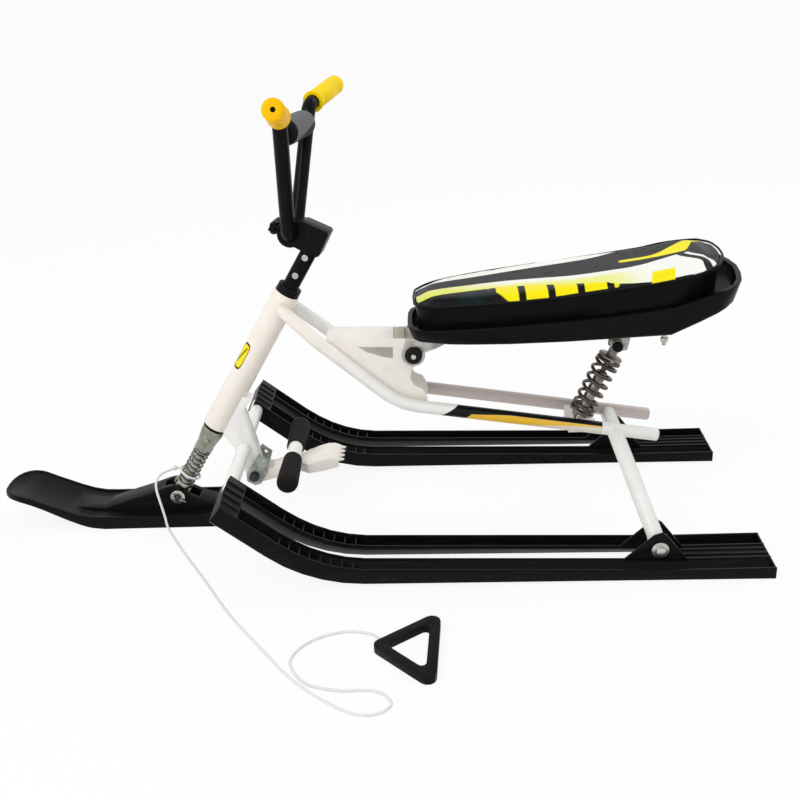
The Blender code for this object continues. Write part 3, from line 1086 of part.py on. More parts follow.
def make_front_ski():
    plastic = paint("front_ski_black", BLACK_PLASTIC, 0.4)
    stations = [FRONT_SKI_RISE_START - FRONT_SKI_RISE_LENGTH * step / 8 for step in range(9)]

    def sliced(bm):
        """Add edges across the body so that it can bend."""
        for station in stations:
            bmesh.ops.bisect_plane(bm, geom=bm.verts[:] + bm.edges[:] + bm.faces[:],
                                   plane_co=(station, 0, 0), plane_no=(1, 0, 0))
        return bm

    deck = prism(front_ski_plan(0.0), 0.0, FRONT_SKI_HEIGHT, "z")
    dish = prism(front_ski_plan(FRONT_SKI_RIM), FRONT_SKI_HEIGHT - FRONT_SKI_RECESS, FRONT_SKI_HEIGHT + 0.01, "z")
    deck = bent_front(sliced(cut(deck, dish)))
    hump_outline = [(HUMP_NOSE_X, HUMP_ROOT_Z), (HUMP_NOSE_X, front_sole_z(HUMP_NOSE_X) + HUMP_NOSE_RISE)]
    hump_outline += list(HUMP_FRONT) + [(HUMP_CREST[0], HUMP_TOP - 0.0020), (HUMP_CREST[1], HUMP_TOP)]
    hump_outline += list(HUMP_REAR) + [(HUMP_REAR[-1][0], HUMP_ROOT_Z)]
    hump = prism(hump_outline, -HUMP_HALF, HUMP_HALF)
    slot_half = TONGUE_WIDTH / 2 + RUNNING_GAP
    slot = prism(((-0.3420, 0.0235), (-0.2900, 0.0235), (-0.2600, 0.0700), (-0.3360, 0.0700)), -slot_half, slot_half)
    seat_space = rod(steer_point(SEAT_LOW - 0.006), steer_point(SEAT_LOW + 0.05), SEAT_RADIUS + 0.0035, 20)
    reach = Vector((0.0, 0.05, 0.0))
    bolt_space = rod(STEER_FOOT - reach, STEER_FOOT + reach, FRONT_BOLT_RADIUS + GAP, 16)
    ski = cut(joined(deck, hump), slot, seat_space, bolt_space)
    build("front_ski", ski, plastic, FRONT_PIVOT)
    steel = paint("front_bolt_steel", STEEL, 0.25, 1.0)
    out = Vector((0.0, -1.0, 0.0))
    flank = HUMP_HALF + GAP
    bolt = joined(rod(STEER_FOOT + out * (flank + 0.008), STEER_FOOT - out * (flank + 0.003), FRONT_BOLT_RADIUS, 16),
                  rod(STEER_FOOT - out * flank, STEER_FOOT - out * (flank + 0.005), 0.0085, 16))
    pin_x = flank + FRONT_WASHER + 0.0030
    pin_at = STEER_FOOT + out * pin_x
    pin_way = Vector((0.86, 0.0, -0.51))
    pin_space = rod(pin_at - pin_way * 0.012, pin_at + pin_way * 0.012, 0.0011 + GAP, 10)
    build("front_ski_bolt", cut(bolt, pin_space), steel, SLIDER)
    build("front_ski_washer", ring(STEER_FOOT + out * flank, out, FRONT_BOLT_RADIUS + GAP, FRONT_WASHER_RADIUS,
                                   FRONT_WASHER), steel, SLIDER)
    build("front_split_pin", joined(rod(pin_at - pin_way * 0.0075, pin_at + pin_way * 0.0150, 0.0011, 8),
                                    rod(pin_at - pin_way * 0.0105, pin_at - pin_way * 0.0068, 0.0026, 8)),
          steel, SLIDER)
    brass = paint("fork_leaf_zinc_yellow", (0.48, 0.33, 0.17), 0.45, 0.7)
    leaf_low = steer_point(SEAT_LOW - 0.0005, 0.0, SEAT_RADIUS + GAP)
    outline = [(leaf_low.x + x, leaf_low.z + z) for x, z in LEAF_OUTLINE]
    build("fork_leaf", prism(outline, -LEAF_HALF, LEAF_HALF), brass, SLIDER)


# Foot brake

def make_brake():
    white = paint("white_brake_paint", WHITE_PAINT, 0.35)
    rear = BRAKE_REAR_X
    pivot = BRAKE_PIVOT
    top, low = list(BRAKE_TOP), list(BRAKE_UNDERSIDE)
    plan = ((pivot.x - 0.02, 1.0), (BRAKE_FLARE[0], 1.0), (BRAKE_FLARE[1], BRAKE_HALF / BRAKE_FRONT_HALF),
            (rear + 0.02, BRAKE_HALF / BRAKE_FRONT_HALF))

    def plan_prism(inset):
        """The plate's plan, from its narrow front to its wide rear."""
        right = [(x, BRAKE_FRONT_HALF * share - inset) for x, share in plan]
        return prism(right + [(x, -y) for x, y in reversed(right)], 0.04, 0.13, "z")

    solid = combine(prism(top + low, -0.05, 0.05), [plan_prism(0.0)], "INTERSECT")
    inside = [(x, z - SHEET) for x, z in top]
    inside = [(rear + 0.02, inside[0][1])] + inside + [(pivot.x - 0.02, pivot.z + 0.0080), (pivot.x - 0.02, 0.05),
                                                     (rear + 0.02, 0.05)]
    hollow = combine(prism(inside, -0.05, 0.05), [plan_prism(SHEET)], "INTERSECT")
    front_gap = block((pivot.x - 0.03, -BRAKE_FRONT_HALF + SHEET, pivot.z - 0.03),
                      (-0.1560, BRAKE_FRONT_HALF - SHEET, 0.125))
    teeth = []
    width = 2 * BRAKE_HALF / BRAKE_TEETH
    for number in range(BRAKE_TEETH):
        middle = -BRAKE_HALF + width * (number + 0.5)
        half = width * 0.48
        teeth.append(prism(((rear - 0.003, middle - half), (rear + BRAKE_TOOTH, middle - 0.0012),
                            (rear + BRAKE_TOOTH, middle + 0.0012), (rear - 0.003, middle + half)),
                           BRAKE_TOP[0][1] - SHEET, BRAKE_TOP[0][1] - 0.0003, "z"))
    reach = BRAKE_HALF + 0.02
    pivot_hole = rod((pivot.x, -reach, pivot.z), (pivot.x, reach, pivot.z), BRAKE_PIVOT_RADIUS + GAP, 20)
    tube_hole = rod((FOOT_TUBE_X, -reach, FOOT_TUBE_Z), (FOOT_TUBE_X, reach, FOOT_TUBE_Z), FOOT_TUBE_RADIUS + GAP, 20)
    plate = cut(solid, hollow, front_gap)
    plate = joined(plate, *teeth)
    build("brake_claw", cut(plate, pivot_hole, tube_hole), white, BRAKE)
    half = PEG_INNER + PEG_LENGTH - 0.006
    build("foot_tube", rod((FOOT_TUBE_X, -half, FOOT_TUBE_Z), (FOOT_TUBE_X, half, FOOT_TUBE_Z), FOOT_TUBE_RADIUS, 20),
          white, BRAKE)
    rubber = paint("peg_rubber", RUBBER, 0.7)
    for side, name in ((-1, "foot_peg_left"), (1, "foot_peg_right")):
        bore = FOOT_TUBE_RADIUS + GAP
        profile = [(bore, 0.0), (PEG_INNER_RADIUS - 0.002, 0.0), (PEG_INNER_RADIUS, 0.004)]
        usable = PEG_LENGTH - 0.026
        for groove in range(PEG_GROOVES):
            share = (groove + 0.5) / PEG_GROOVES
            at = 0.008 + usable * share
            radius = PEG_INNER_RADIUS + (PEG_RADIUS - PEG_INNER_RADIUS) * share
            profile += [(radius, at - 0.0030), (radius - 0.0011, at), (radius, at + 0.0030)]
        profile += [(PEG_RADIUS, PEG_LENGTH - 0.011), (PEG_RADIUS * 0.82, PEG_LENGTH - 0.003),
                    (0.0, PEG_LENGTH), (0.0, PEG_LENGTH - 0.006 + GAP), (bore, PEG_LENGTH - 0.006 + GAP)]
        start = (FOOT_TUBE_X, side * PEG_INNER, FOOT_TUBE_Z)
        build(name, peg_solid(start, side, profile), rubber, BRAKE)
    grey = paint("brake_plate_zinc", (0.42, 0.45, 0.43), 0.45, 0.8)
    for side, name in ((-1, "brake_side_plate_left"), (1, "brake_side_plate_right")):
        low, high = sorted((side * (BRAKE_FRONT_HALF + GAP), side * (BRAKE_FRONT_HALF + GAP + SHEET)))
        slot = prism(BRAKE_PLATE_SLOT, -0.06, 0.06)
        hole = rod((pivot.x, -0.06, pivot.z), (pivot.x, 0.06, pivot.z), BRAKE_PIVOT_RADIUS + GAP, 20)
        build(name, cut(prism(BRAKE_SIDE_PLATE, low, high), slot, hole), grey, BRAKE)
    black = paint("brake_bolt_black", (0.03, 0.03, 0.03), 0.35, 0.8)
    flank = BRAKE_FRONT_HALF + 2 * GAP + SHEET
    out = Vector((0.0, 1.0, 0.0))
    bolt = joined(rod(pivot - out * (flank + 0.003), pivot + out * (flank + 0.004), BRAKE_PIVOT_RADIUS, 20),
                  rod(pivot - out * (flank + 0.0045), pivot - out * flank, 0.0080, 20),
                  rod(pivot + out * flank, pivot + out * (flank + 0.005), 0.0080, 6))
    build("brake_pivot_bolt", bolt, black)


def peg_solid(start, side, profile):
    """A blind rubber peg: the turned outer profile closes over the tube's end."""
    bm = bmesh.new()
    verts = [bm.verts.new((max(radius, 0.0), 0.0, height)) for radius, height in profile]
    axis_index = [index for index, (radius, _) in enumerate(profile) if radius == 0.0]
    edges = []
    for index in range(len(verts)):
        following = (index + 1) % len(verts)
        if index in axis_index and following in axis_index:
            continue
        edges.append(bm.edges.new((verts[index], verts[following])))
    bmesh.ops.spin(bm, geom=verts + edges, cent=(0, 0, 0), axis=(0, 0, 1), angle=2 * pi, steps=16, use_merge=True)
    place = Matrix.Translation(Vector(start)) @ turn_to((0.0, float(side), 0.0))
    bmesh.ops.transform(bm, matrix=place, verts=bm.verts)
    return tidy(bm)


# Seat

def tray_floor_z(x):
    """Height of the tray's underside at an x: a gentle slope, then a kick up to the tail."""
    run = TRAY_BOTTOM_KINK - TRAY_BOTTOM_START
    if x <= TRAY_BOTTOM_KINK.x:
        return TRAY_BOTTOM_START.z + (x - TRAY_BOTTOM_START.x) * run.z / run.x
    return TRAY_BOTTOM_KINK.z + (x - TRAY_BOTTOM_KINK.x) * TRAY_BOTTOM_SLOPE


def plan_loop(outline, inset):
    """A plan outline, both sides, inset from its edge. The station at the kink stays in place."""
    kink = TRAY_BOTTOM_KINK.x
    front, rear = kink - outline[0][0], outline[-1][0] - kink
    loop = []
    for x, y in outline:
        length = front if x < kink else rear
        new_x = kink + (x - kink) * (length - inset) / length
        loop.append((new_x, max(0.0, y - inset * y / (y + 0.012) * 1.12) if y else 0.0))
    return loop + [(x, -y) for x, y in reversed(loop[1:-1])]


def lofted(loops, close_top):
    """A closed or open skin through loops of equal length, from the bottom loop up."""
    bm = bmesh.new()
    rows = [[bm.verts.new(place) for place in loop] for loop in loops]
    count = len(rows[0])
    for low, high in zip(rows, rows[1:]):
        for index in range(count):
            following = (index + 1) % count
            bm.faces.new((low[index], low[following], high[following], high[index]))
    bridge_across(bm, rows[0])
    if close_top:
        bridge_across(bm, rows[-1])
    return tidy(bm)


def bridge_across(bm, row):
    """Fill a left-right symmetric loop with quads from side to side."""
    count = len(row)
    half = count // 2
    for index in range(half):
        a, b = row[index], row[index + 1]
        c, d = row[(count - index - 1) % count], row[(count - index) % count]
        corners = []
        for vert in (a, b, c, d):
            if vert not in corners:
                corners.append(vert)
        bm.faces.new(corners)


def skin(outline, steps):
    """A closed skin through inset copies of a plan outline, each at its own height."""
    return lofted([[(x, y, height(x)) for x, y in plan_loop(outline, inset)] for inset, height in steps], True)


def make_seat_shell():
    """The tray: an open box with near upright walls and a narrow lip turned inward."""
    black = paint("tray_black", BLACK_PLASTIC, 0.4)

    def above_floor(lift):
        return lambda x: tray_floor_z(x) + lift

    def from_rim(lift):
        return lambda x: lookup(RIM_HEIGHTS, x) + lift

    wall = TRAY_WALL
    foot, bilge = TRAY_FLOOR_INSET, TRAY_FLOOR_INSET - 0.0025
    outside = ((foot, above_floor(0.0)), (bilge, above_floor(0.0030)), (0.0, from_rim(-0.0010)), (0.0006, from_rim(0.0)))
    inside = ((foot + wall, above_floor(wall)), (bilge + wall, above_floor(wall + 0.0030)), (wall, from_rim(-wall)),
              (TRAY_LIP, from_rim(-wall)), (TRAY_LIP, from_rim(0.010)))
    build("seat_tray", cut(skin(TRAY_OUTLINE, outside), skin(TRAY_OUTLINE, inside)), black, SEAT)


def make_cushion():
    """The padded seat: it stands on the tray's floor, with a piped upper edge and a low crown."""
    vinyl = paint("cushion_vinyl", (0.10, 0.10, 0.11), 0.3)

    def foot(lift):
        return lambda x: tray_floor_z(x) + TRAY_WALL + GAP + lift

    def side(share):
        return lambda x: lookup(RIM_HEIGHTS, x) * (1 - share) + lookup(PIPING_HEIGHTS, x) * share

    def top(lift):
        return lambda x: lookup(PIPING_HEIGHTS, x) + lift

    waist = CUSHION_WAIST
    steps = ((waist + 0.0050, foot(0.0)), (waist + 0.0010, foot(0.0040)), (waist, side(0.10)),
             (waist * 0.5, side(0.60)), (0.0, top(-0.0015)), (0.0008, top(0.0010)), (0.0070, top(0.0030)),
             (0.0240, top(CUSHION_CROWN)))
    build("seat_cushion", skin(CUSHION_OUTLINE, steps), vinyl, SEAT)


def make_seat_rail():
    """The steel rail under the tray, with the pivot's lugs and the shock's upper plate."""
    grey = paint("rail_grey", (0.45, 0.45, 0.43), 0.4, 0.6)
    low_y = BRACKET_HALF + GAP
    lug_y = low_y + SHEET
    x_start, x_end = 0.0860, 0.4300
    gap = GAP
    top = [(x, tray_floor_z(x) - gap) for x in (x_start, x_end)]
    bottom = [(x_end, tray_floor_z(x_end) - gap - SHEET), (x_start, tray_floor_z(x_start) - gap - SHEET)]
    bar = prism(top + bottom, -lug_y + 0.0004, lug_y - 0.0004)
    parts = []
    for side in (-1, 1):
        a, b = sorted((side * low_y, side * lug_y))
        lug = [(SEAT_PIVOT.x + RAIL_LUG_RADIUS * cos(radians(t)), SEAT_PIVOT.z + RAIL_LUG_RADIUS * sin(radians(t)))
               for t in range(-215, 21, 25)]
        lug += [(0.1180, 0.2935), (0.1400, tray_floor_z(0.1400) - 0.0085), (0.1900, tray_floor_z(0.1900) - SHEET),
                (0.1900, tray_floor_z(0.1900) - gap - 0.0004), (0.0700, tray_floor_z(0.0700) - gap - 0.0004)]
        parts.append(prism(lug, a, b))
    plate_low = SHOCK_EYE_HALF + 2 * RUNNING_GAP
    x0, z0 = SHOCK_TOP.x, SHOCK_TOP.z
    plate = prism(((x0 - 0.0100, tray_floor_z(x0) - gap - 0.0005), (x0 + 0.0320, tray_floor_z(x0 + 0.032) - gap - 0.0005),
                   (x0 + 0.0190, z0 - 0.0140), (x0 + 0.0040, z0 - 0.0160), (x0 - 0.0115, z0 - 0.0040)),
                  plate_low, plate_low + 0.0030)
    hole = rod((SEAT_PIVOT.x, -0.05, SEAT_PIVOT.z), (SEAT_PIVOT.x, 0.05, SEAT_PIVOT.z), SEAT_PIVOT_RADIUS + GAP, 16)
    top_hole = rod((x0, -0.05, z0), (x0, 0.05, z0), SHOCK_BOLT_RADIUS + GAP, 16)
    build("seat_rail", cut(joined(bar, plate, *parts), hole, top_hole), grey, SEAT)
    zinc = paint("seat_bolt_zinc", ZINC, 0.3, 1.0)
    out = Vector((0.0, 1.0, 0.0))
    reach = lug_y + GAP + SEAT_BUSH + GAP
    bolt = joined(rod(SEAT_PIVOT - out * (reach + 0.003), SEAT_PIVOT + out * (reach + 0.004), SEAT_PIVOT_RADIUS, 16),
                  rod(SEAT_PIVOT + out * reach, SEAT_PIVOT + out * (reach + 0.005), 0.0065, 6))
    build("seat_pivot_bolt", bolt, zinc)
    rubber = paint("seat_bush_rubber", RUBBER, 0.6)
    for side, name in ((-1, "seat_bush_left"), (1, "seat_bush_right")):
        start = SEAT_PIVOT + out * side * (lug_y + GAP)
        profile = ((SEAT_BUSH_RADIUS - 0.0015, SEAT_BUSH), (SEAT_BUSH_RADIUS, SEAT_BUSH - 0.0015), (SEAT_BUSH_RADIUS, 0.0),
                   (SEAT_PIVOT_RADIUS + GAP, 0.0), (SEAT_PIVOT_RADIUS + GAP, SEAT_BUSH))
        build(name, turned(start, out * side, profile, 20), rubber)
    bolt_at = Vector((TRAY_BOLT.x, TRAY_BOLT.y, tray_floor_z(TRAY_BOLT.x) - GAP))
    down = Vector((0.0, 0.0, -1.0))
    build("tray_bolt", joined(rod(bolt_at, bolt_at + down * TRAY_BOLT.z, 0.0033, 12),
                              rod(bolt_at + down * 0.0105, bolt_at + down * 0.0165, 0.0060, 6)), zinc, SEAT)


# Rear shock

def make_shock():
    along = (SHOCK_TOP - SHOCK_LOW).normalized()
    length = (SHOCK_TOP - SHOCK_LOW).length
    out = Vector((0.0, SHOCK_EYE_HALF, 0.0))
    grey = paint("shock_grey", (0.40, 0.39, 0.37), 0.35, 0.9)
    seat_low = 0.0110
    seat_high = length - 0.0230
    tube_top = seat_high - SHOCK_TRAVEL - SHOCK_BUMP_GAP
    eye = rod(SHOCK_LOW - out, SHOCK_LOW + out, SHOCK_EYE_RADIUS, 20)
    neck = rod(SHOCK_LOW + along * 0.004, SHOCK_LOW + along * tube_top, SHOCK_BODY_RADIUS, 20)
    disc = rod(SHOCK_LOW + along * (seat_low - SHOCK_DISC), SHOCK_LOW + along * seat_low, SHOCK_DISC_RADIUS, 20)
    bore = rod(SHOCK_LOW + along * 0.0160, SHOCK_LOW + along * (tube_top + 0.01), SHOCK_ROD_RADIUS + 2 * GAP, 16)
    hole = rod(SHOCK_LOW - out * 1.5, SHOCK_LOW + out * 1.5, SHOCK_BOLT_RADIUS + GAP, 16)
    build("shock_body", cut(joined(eye, neck, disc), bore, hole), grey, SHOCK)
    top_eye = rod(SHOCK_TOP - out, SHOCK_TOP + out, SHOCK_EYE_RADIUS, 20)
    rod_low = SHOCK_TRAVEL + 0.0190
    piston = rod(SHOCK_LOW + along * rod_low, SHOCK_TOP - along * 0.006, SHOCK_ROD_RADIUS, 16)
    high_disc = rod(SHOCK_LOW + along * seat_high, SHOCK_LOW + along * (seat_high + SHOCK_DISC), SHOCK_DISC_RADIUS * 0.93, 20)
    collar = rod(SHOCK_LOW + along * (seat_high + 0.001), SHOCK_TOP - along * 0.006, 0.0078, 20)
    bush_space = rod(SHOCK_TOP - out * 1.5, SHOCK_TOP + out * 1.5, SHOCK_BUSH_RADIUS + GAP, 20)
    build("shock_rod", cut(joined(top_eye, piston, high_disc, collar), bush_space), grey, SHOCK_TUBE)
    rubber = paint("shock_bush_rubber", RUBBER, 0.6)
    build("shock_top_bush", ring(SHOCK_TOP - out, out, SHOCK_BOLT_RADIUS + RUNNING_GAP * 1.6, SHOCK_BUSH_RADIUS,
                                 2 * SHOCK_EYE_HALF), rubber, SHOCK_TUBE)
    zinc = paint("shock_top_bolt_black", (0.03, 0.03, 0.03), 0.35, 0.8)
    plate_far = SHOCK_EYE_HALF + 2 * RUNNING_GAP + 0.0030
    side = Vector((0.0, 1.0, 0.0))
    bolt = joined(rod(SHOCK_TOP - side * (SHOCK_EYE_HALF + 0.0035), SHOCK_TOP + side * (plate_far + 0.0050), SHOCK_BOLT_RADIUS, 16),
                  rod(SHOCK_TOP - side * (SHOCK_EYE_HALF + 0.0040), SHOCK_TOP - side * (SHOCK_EYE_HALF + RUNNING_GAP), 0.0075, 20),
                  rod(SHOCK_TOP + side * (plate_far + GAP), SHOCK_TOP + side * (plate_far + 0.0050), 0.0065, 6))
    build("shock_bolt_upper", bolt, zinc, SEAT)
    points = coil(SHOCK_LOW + along * (seat_low + GAP), SHOCK_LOW + along * (seat_high - GAP), SHOCK_SPRING_RADIUS,
                  SHOCK_SPRING_WIRE, SHOCK_SPRING_TURNS, SHOCK_SPRING_POINTS)
    gap = least_self_gap(points, SHOCK_SPRING_WIRE, SHOCK_SPRING_POINTS)
    print("shock spring least gap to itself: %.2f mm" % (1000 * gap))
    steel = paint("shock_spring_steel", (0.30, 0.29, 0.29), 0.3, 1.0)
    build("shock_spring", pipe(points, SHOCK_SPRING_WIRE / 2, WIRE_BEVEL), steel, SHOCK)


# Tow cord

def make_tow_cord():
    white = paint("tow_cord_white", (0.88, 0.88, 0.86), 0.8)
    points, length = smooth_path(CORD_ROUTE, CORD_POINTS)
    points = [Vector((p.x, p.y, max(p.z, CORD_RADIUS))) for p in points]
    print("tow cord length: %.3f m" % length)
    build("tow_cord", pipe(points, CORD_RADIUS, 2), white)
    axis = steer_point(1.0) - steer_point(0.0)
    loop_radius = FRONT_SPRING_RADIUS + FRONT_SPRING_WIRE / 2 + CORD_RADIUS + RUNNING_GAP
    centre = steer_point(KNOT_HEIGHT)
    wire = [(loop_radius + CORD_RADIUS * cos(2 * pi * k / 6), CORD_RADIUS * sin(2 * pi * k / 6)) for k in range(6)]
    loop = turned(centre, axis, wire[::-1], 20)
    first = (points[0] - points[1]).normalized()
    knot_at = points[0] + first * (GAP + 0.0045)
    ball = bmesh.new()
    bmesh.ops.create_uvsphere(ball, u_segments=10, v_segments=7, radius=0.0044)
    bmesh.ops.translate(ball, vec=knot_at, verts=ball.verts)
    front = steer_point(KNOT_HEIGHT, 0.0, loop_radius)
    tie = rod(front, knot_at, CORD_RADIUS, 10)
    build("tow_knot", joined(loop, ball, tie), white)
    black = paint("tow_handle_black", BLACK_PLASTIC, 0.45)
    corners = [Vector((x, y, 0.0)) for x, y in HANDLE_CORNERS]
    outer = rounded_triangle(corners, 0.0, 0.012)
    inner = rounded_triangle(corners, HANDLE_BAR_WIDTH, 0.006)
    handle = cut(prism(outer, 0.0, HANDLE_THICKNESS, "z"), prism(inner, -0.01, HANDLE_THICKNESS + 0.01, "z"))
    way = (points[-1] - points[-2]).normalized()
    socket = pipe(points[-4:-1] + [points[-1] + way * GAP], CORD_RADIUS + 2 * GAP, 2)
    build("tow_handle", cut(handle, socket), black)


def rounded_triangle(corners, inset, radius):
    """A triangle moved in from its sides, with rounded corners, as (x, y) points."""
    centre = sum(corners, Vector()) / 3
    moved = []
    for index, corner in enumerate(corners):
        before, after = corners[index - 1], corners[(index + 1) % 3]
        bisector = ((before - corner).normalized() + (after - corner).normalized()).normalized()
        half = (before - corner).angle(after - corner) / 2
        moved.append(corner + bisector * (inset / sin(half)))
    points = []
    for index, corner in enumerate(moved):
        before, after = moved[index - 1], moved[(index + 1) % 3]
        arc = filleted((before.lerp(corner, 0.5), corner, after.lerp(corner, 0.5)), (radius,), 4)
        points += [(p.x, p.y) for p in arc[1:-1]]
    return points


make_side_skis()
make_frame_tubes()
make_rear_arch()
make_ski_bolts()
make_strut()
make_seat_bracket()
make_shock_mount()
make_head_bushes()
make_column()
make_crown()
make_stem()
make_handlebar()
make_slider()
make_front_ski()
make_brake()
make_seat_shell()
make_cushion()
make_seat_rail()
make_shock()
make_tow_cord()
print("parts made: %d" % sum(1 for obj in SLED.objects if obj.type == "MESH"))
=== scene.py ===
# %% [markdown]
# # A steering sled, from bare solids to a finished product picture
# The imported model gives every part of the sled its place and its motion. This script keeps those
# solids as a fixed frame, models the pieces that show at a better quality on top of them, and gives
# every surface a finish made of shader nodes.
# All lengths are metres. The front of the sled is at -X, the rider's left at -Y, and the ground is Z = 0.

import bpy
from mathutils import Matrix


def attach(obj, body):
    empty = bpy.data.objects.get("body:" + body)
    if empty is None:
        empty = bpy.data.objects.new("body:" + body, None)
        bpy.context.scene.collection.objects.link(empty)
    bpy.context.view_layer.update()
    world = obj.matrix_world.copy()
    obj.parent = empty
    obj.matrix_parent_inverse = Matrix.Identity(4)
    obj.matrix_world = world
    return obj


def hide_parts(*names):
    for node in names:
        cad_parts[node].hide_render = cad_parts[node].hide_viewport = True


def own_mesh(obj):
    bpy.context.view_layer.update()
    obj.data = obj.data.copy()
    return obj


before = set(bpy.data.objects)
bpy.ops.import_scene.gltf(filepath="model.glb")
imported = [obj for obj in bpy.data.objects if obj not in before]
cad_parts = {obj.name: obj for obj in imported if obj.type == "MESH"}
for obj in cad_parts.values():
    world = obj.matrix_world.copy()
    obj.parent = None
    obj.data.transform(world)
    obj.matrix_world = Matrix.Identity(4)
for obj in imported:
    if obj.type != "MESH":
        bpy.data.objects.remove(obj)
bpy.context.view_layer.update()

# %% Modules
from math import cos, pi, radians, sin, tan

import bmesh
import bpy
from mathutils import Matrix, Vector

# %% [markdown]
# ## The camera
# The picture was taken from the rider's left, a little behind the middle, looking down by 23 degrees.
# A camera could be aimed with a Track To constraint, but a matrix built from the three angles is exact,
# and it keeps the small roll that the real camera had.

# %% Aim the camera
def aimed(yaw, pitch, roll):
    """Rotation of a camera that looks along +Y, then turned left, tipped down and rolled."""
    forward = Vector((-sin(yaw) * cos(pitch), cos(yaw) * cos(pitch), -sin(pitch)))
    right = Vector((cos(yaw), sin(yaw), 0.0))
    up = right.cross(forward)
    level = right * cos(roll) + up * sin(roll)
    upright = up * cos(roll) - right * sin(roll)
    return Matrix((level, upright, -forward)).transposed()


lens = bpy.data.cameras.new("portrait_lens")
lens.sensor_width, lens.lens = 36.0, 1113.2 / 800 * 36.0
camera = bpy.data.objects.new("portrait_camera", lens)
camera.matrix_world = (Matrix.Translation((0.1089, -1.6369, 0.8957))
                       @ aimed(radians(1.856), radians(23.176), radians(-2.309)).to_4x4())
bpy.context.scene.collection.objects.link(camera)
bpy.context.scene.camera = camera
print("camera: %.1f mm lens, %.2f m above the ground" % (lens.lens, camera.location.z))

# %% [markdown]
# ## Finishes as formulas
# A finish is a Principled shader with a few nodes in front of it. Wiring nodes one by one is slow to
# read, so a small class wraps a socket and overloads the arithmetic operators. A line such as
# `1 - wear * 0.4` then adds the Math nodes by itself. Every node, for materials and world alike, comes
# from one method, `node`, which takes a node's type, its settings and the values of its sockets.

# %% A socket that does arithmetic
class Flow:
    """A value that flows out of a socket. Arithmetic on it adds Math nodes."""

    def __init__(self, wiring, socket):
        self.wiring, self.socket = wiring, socket

    def math(self, operation, *terms):
        return self.wiring.node("ShaderNodeMath", {"operation": operation}, dict(enumerate(terms)))

    def __add__(self, other):
        return self.math("ADD", self, other)

    def __sub__(self, other):
        return self.math("SUBTRACT", self, other)

    def __rsub__(self, other):
        return self.math("SUBTRACT", other, self)

    def __mul__(self, other):
        return self.math("MULTIPLY", self, other)

    def __truediv__(self, other):
        return self.math("DIVIDE", self, other)

    def __rtruediv__(self, other):
        return self.math("DIVIDE", other, self)

    def __abs__(self):
        return self.math("ABSOLUTE", self)

    def __pow__(self, other):
        return self.math("POWER", self, other)

    __radd__, __rmul__ = __add__, __mul__

    def wave(self):
        return self.math("SINE", self)

    def step(self, start, end):
        """A soft mask: 0 below start, 1 above end. Swapped ends turn it over."""
        return self.wiring.node("ShaderNodeMapRange", {"interpolation_type": "SMOOTHSTEP"},
                                {"Value": self, "From Min": start, "From Max": end})

    def band(self, low, high, soft):
        """A soft mask of what lies between two values."""
        return self.step(low - soft, low + soft) * self.step(high + soft, high - soft)


# %% A node tree
MIRROR_SHARE = 0.8   # how much of the plain surround shows in mirrors


class Wiring:
    """A tree in which one method makes every node. Materials and the world both have one."""

    def __init__(self, tree):
        self.tree = tree

    def plug(self, socket, value):
        if isinstance(value, Flow):
            self.tree.links.new(value.socket, socket)
        else:
            socket.default_value = value

    def node(self, kind, settings, values, output=0):
        """Any node: its settings first, then its sockets by name or number."""
        made = self.tree.nodes.new(kind)
        for name, value in settings.items():
            setattr(made, name, value)
        for key, value in values.items():
            self.plug(made.inputs[key], value)
        return Flow(self, made.outputs[output])

    def split(self, vector):
        """The three parts of a vector as separate values."""
        parts = self.node("ShaderNodeSeparateXYZ", {}, {"Vector": vector}).socket.node.outputs
        return [Flow(self, parts[axis]) for axis in "XYZ"]

    def surrounded(self, lit, plain, camera_share, surface):
        """Show a plain shader to rays that only look at the background, and the lit one to all others."""
        rays = self.node("ShaderNodeLightPath", {}, {}).socket.node.outputs
        camera_ray, mirror_ray, clear_ray = (Flow(self, rays[name]) for name in (
            "Is Camera Ray", "Is Glossy Ray", "Is Transmission Ray"))
        share = camera_ray * camera_share + mirror_ray * MIRROR_SHARE + clear_ray
        self.plug(surface, self.node("ShaderNodeMixShader", {}, {0: share, 1: lit, 2: plain}))


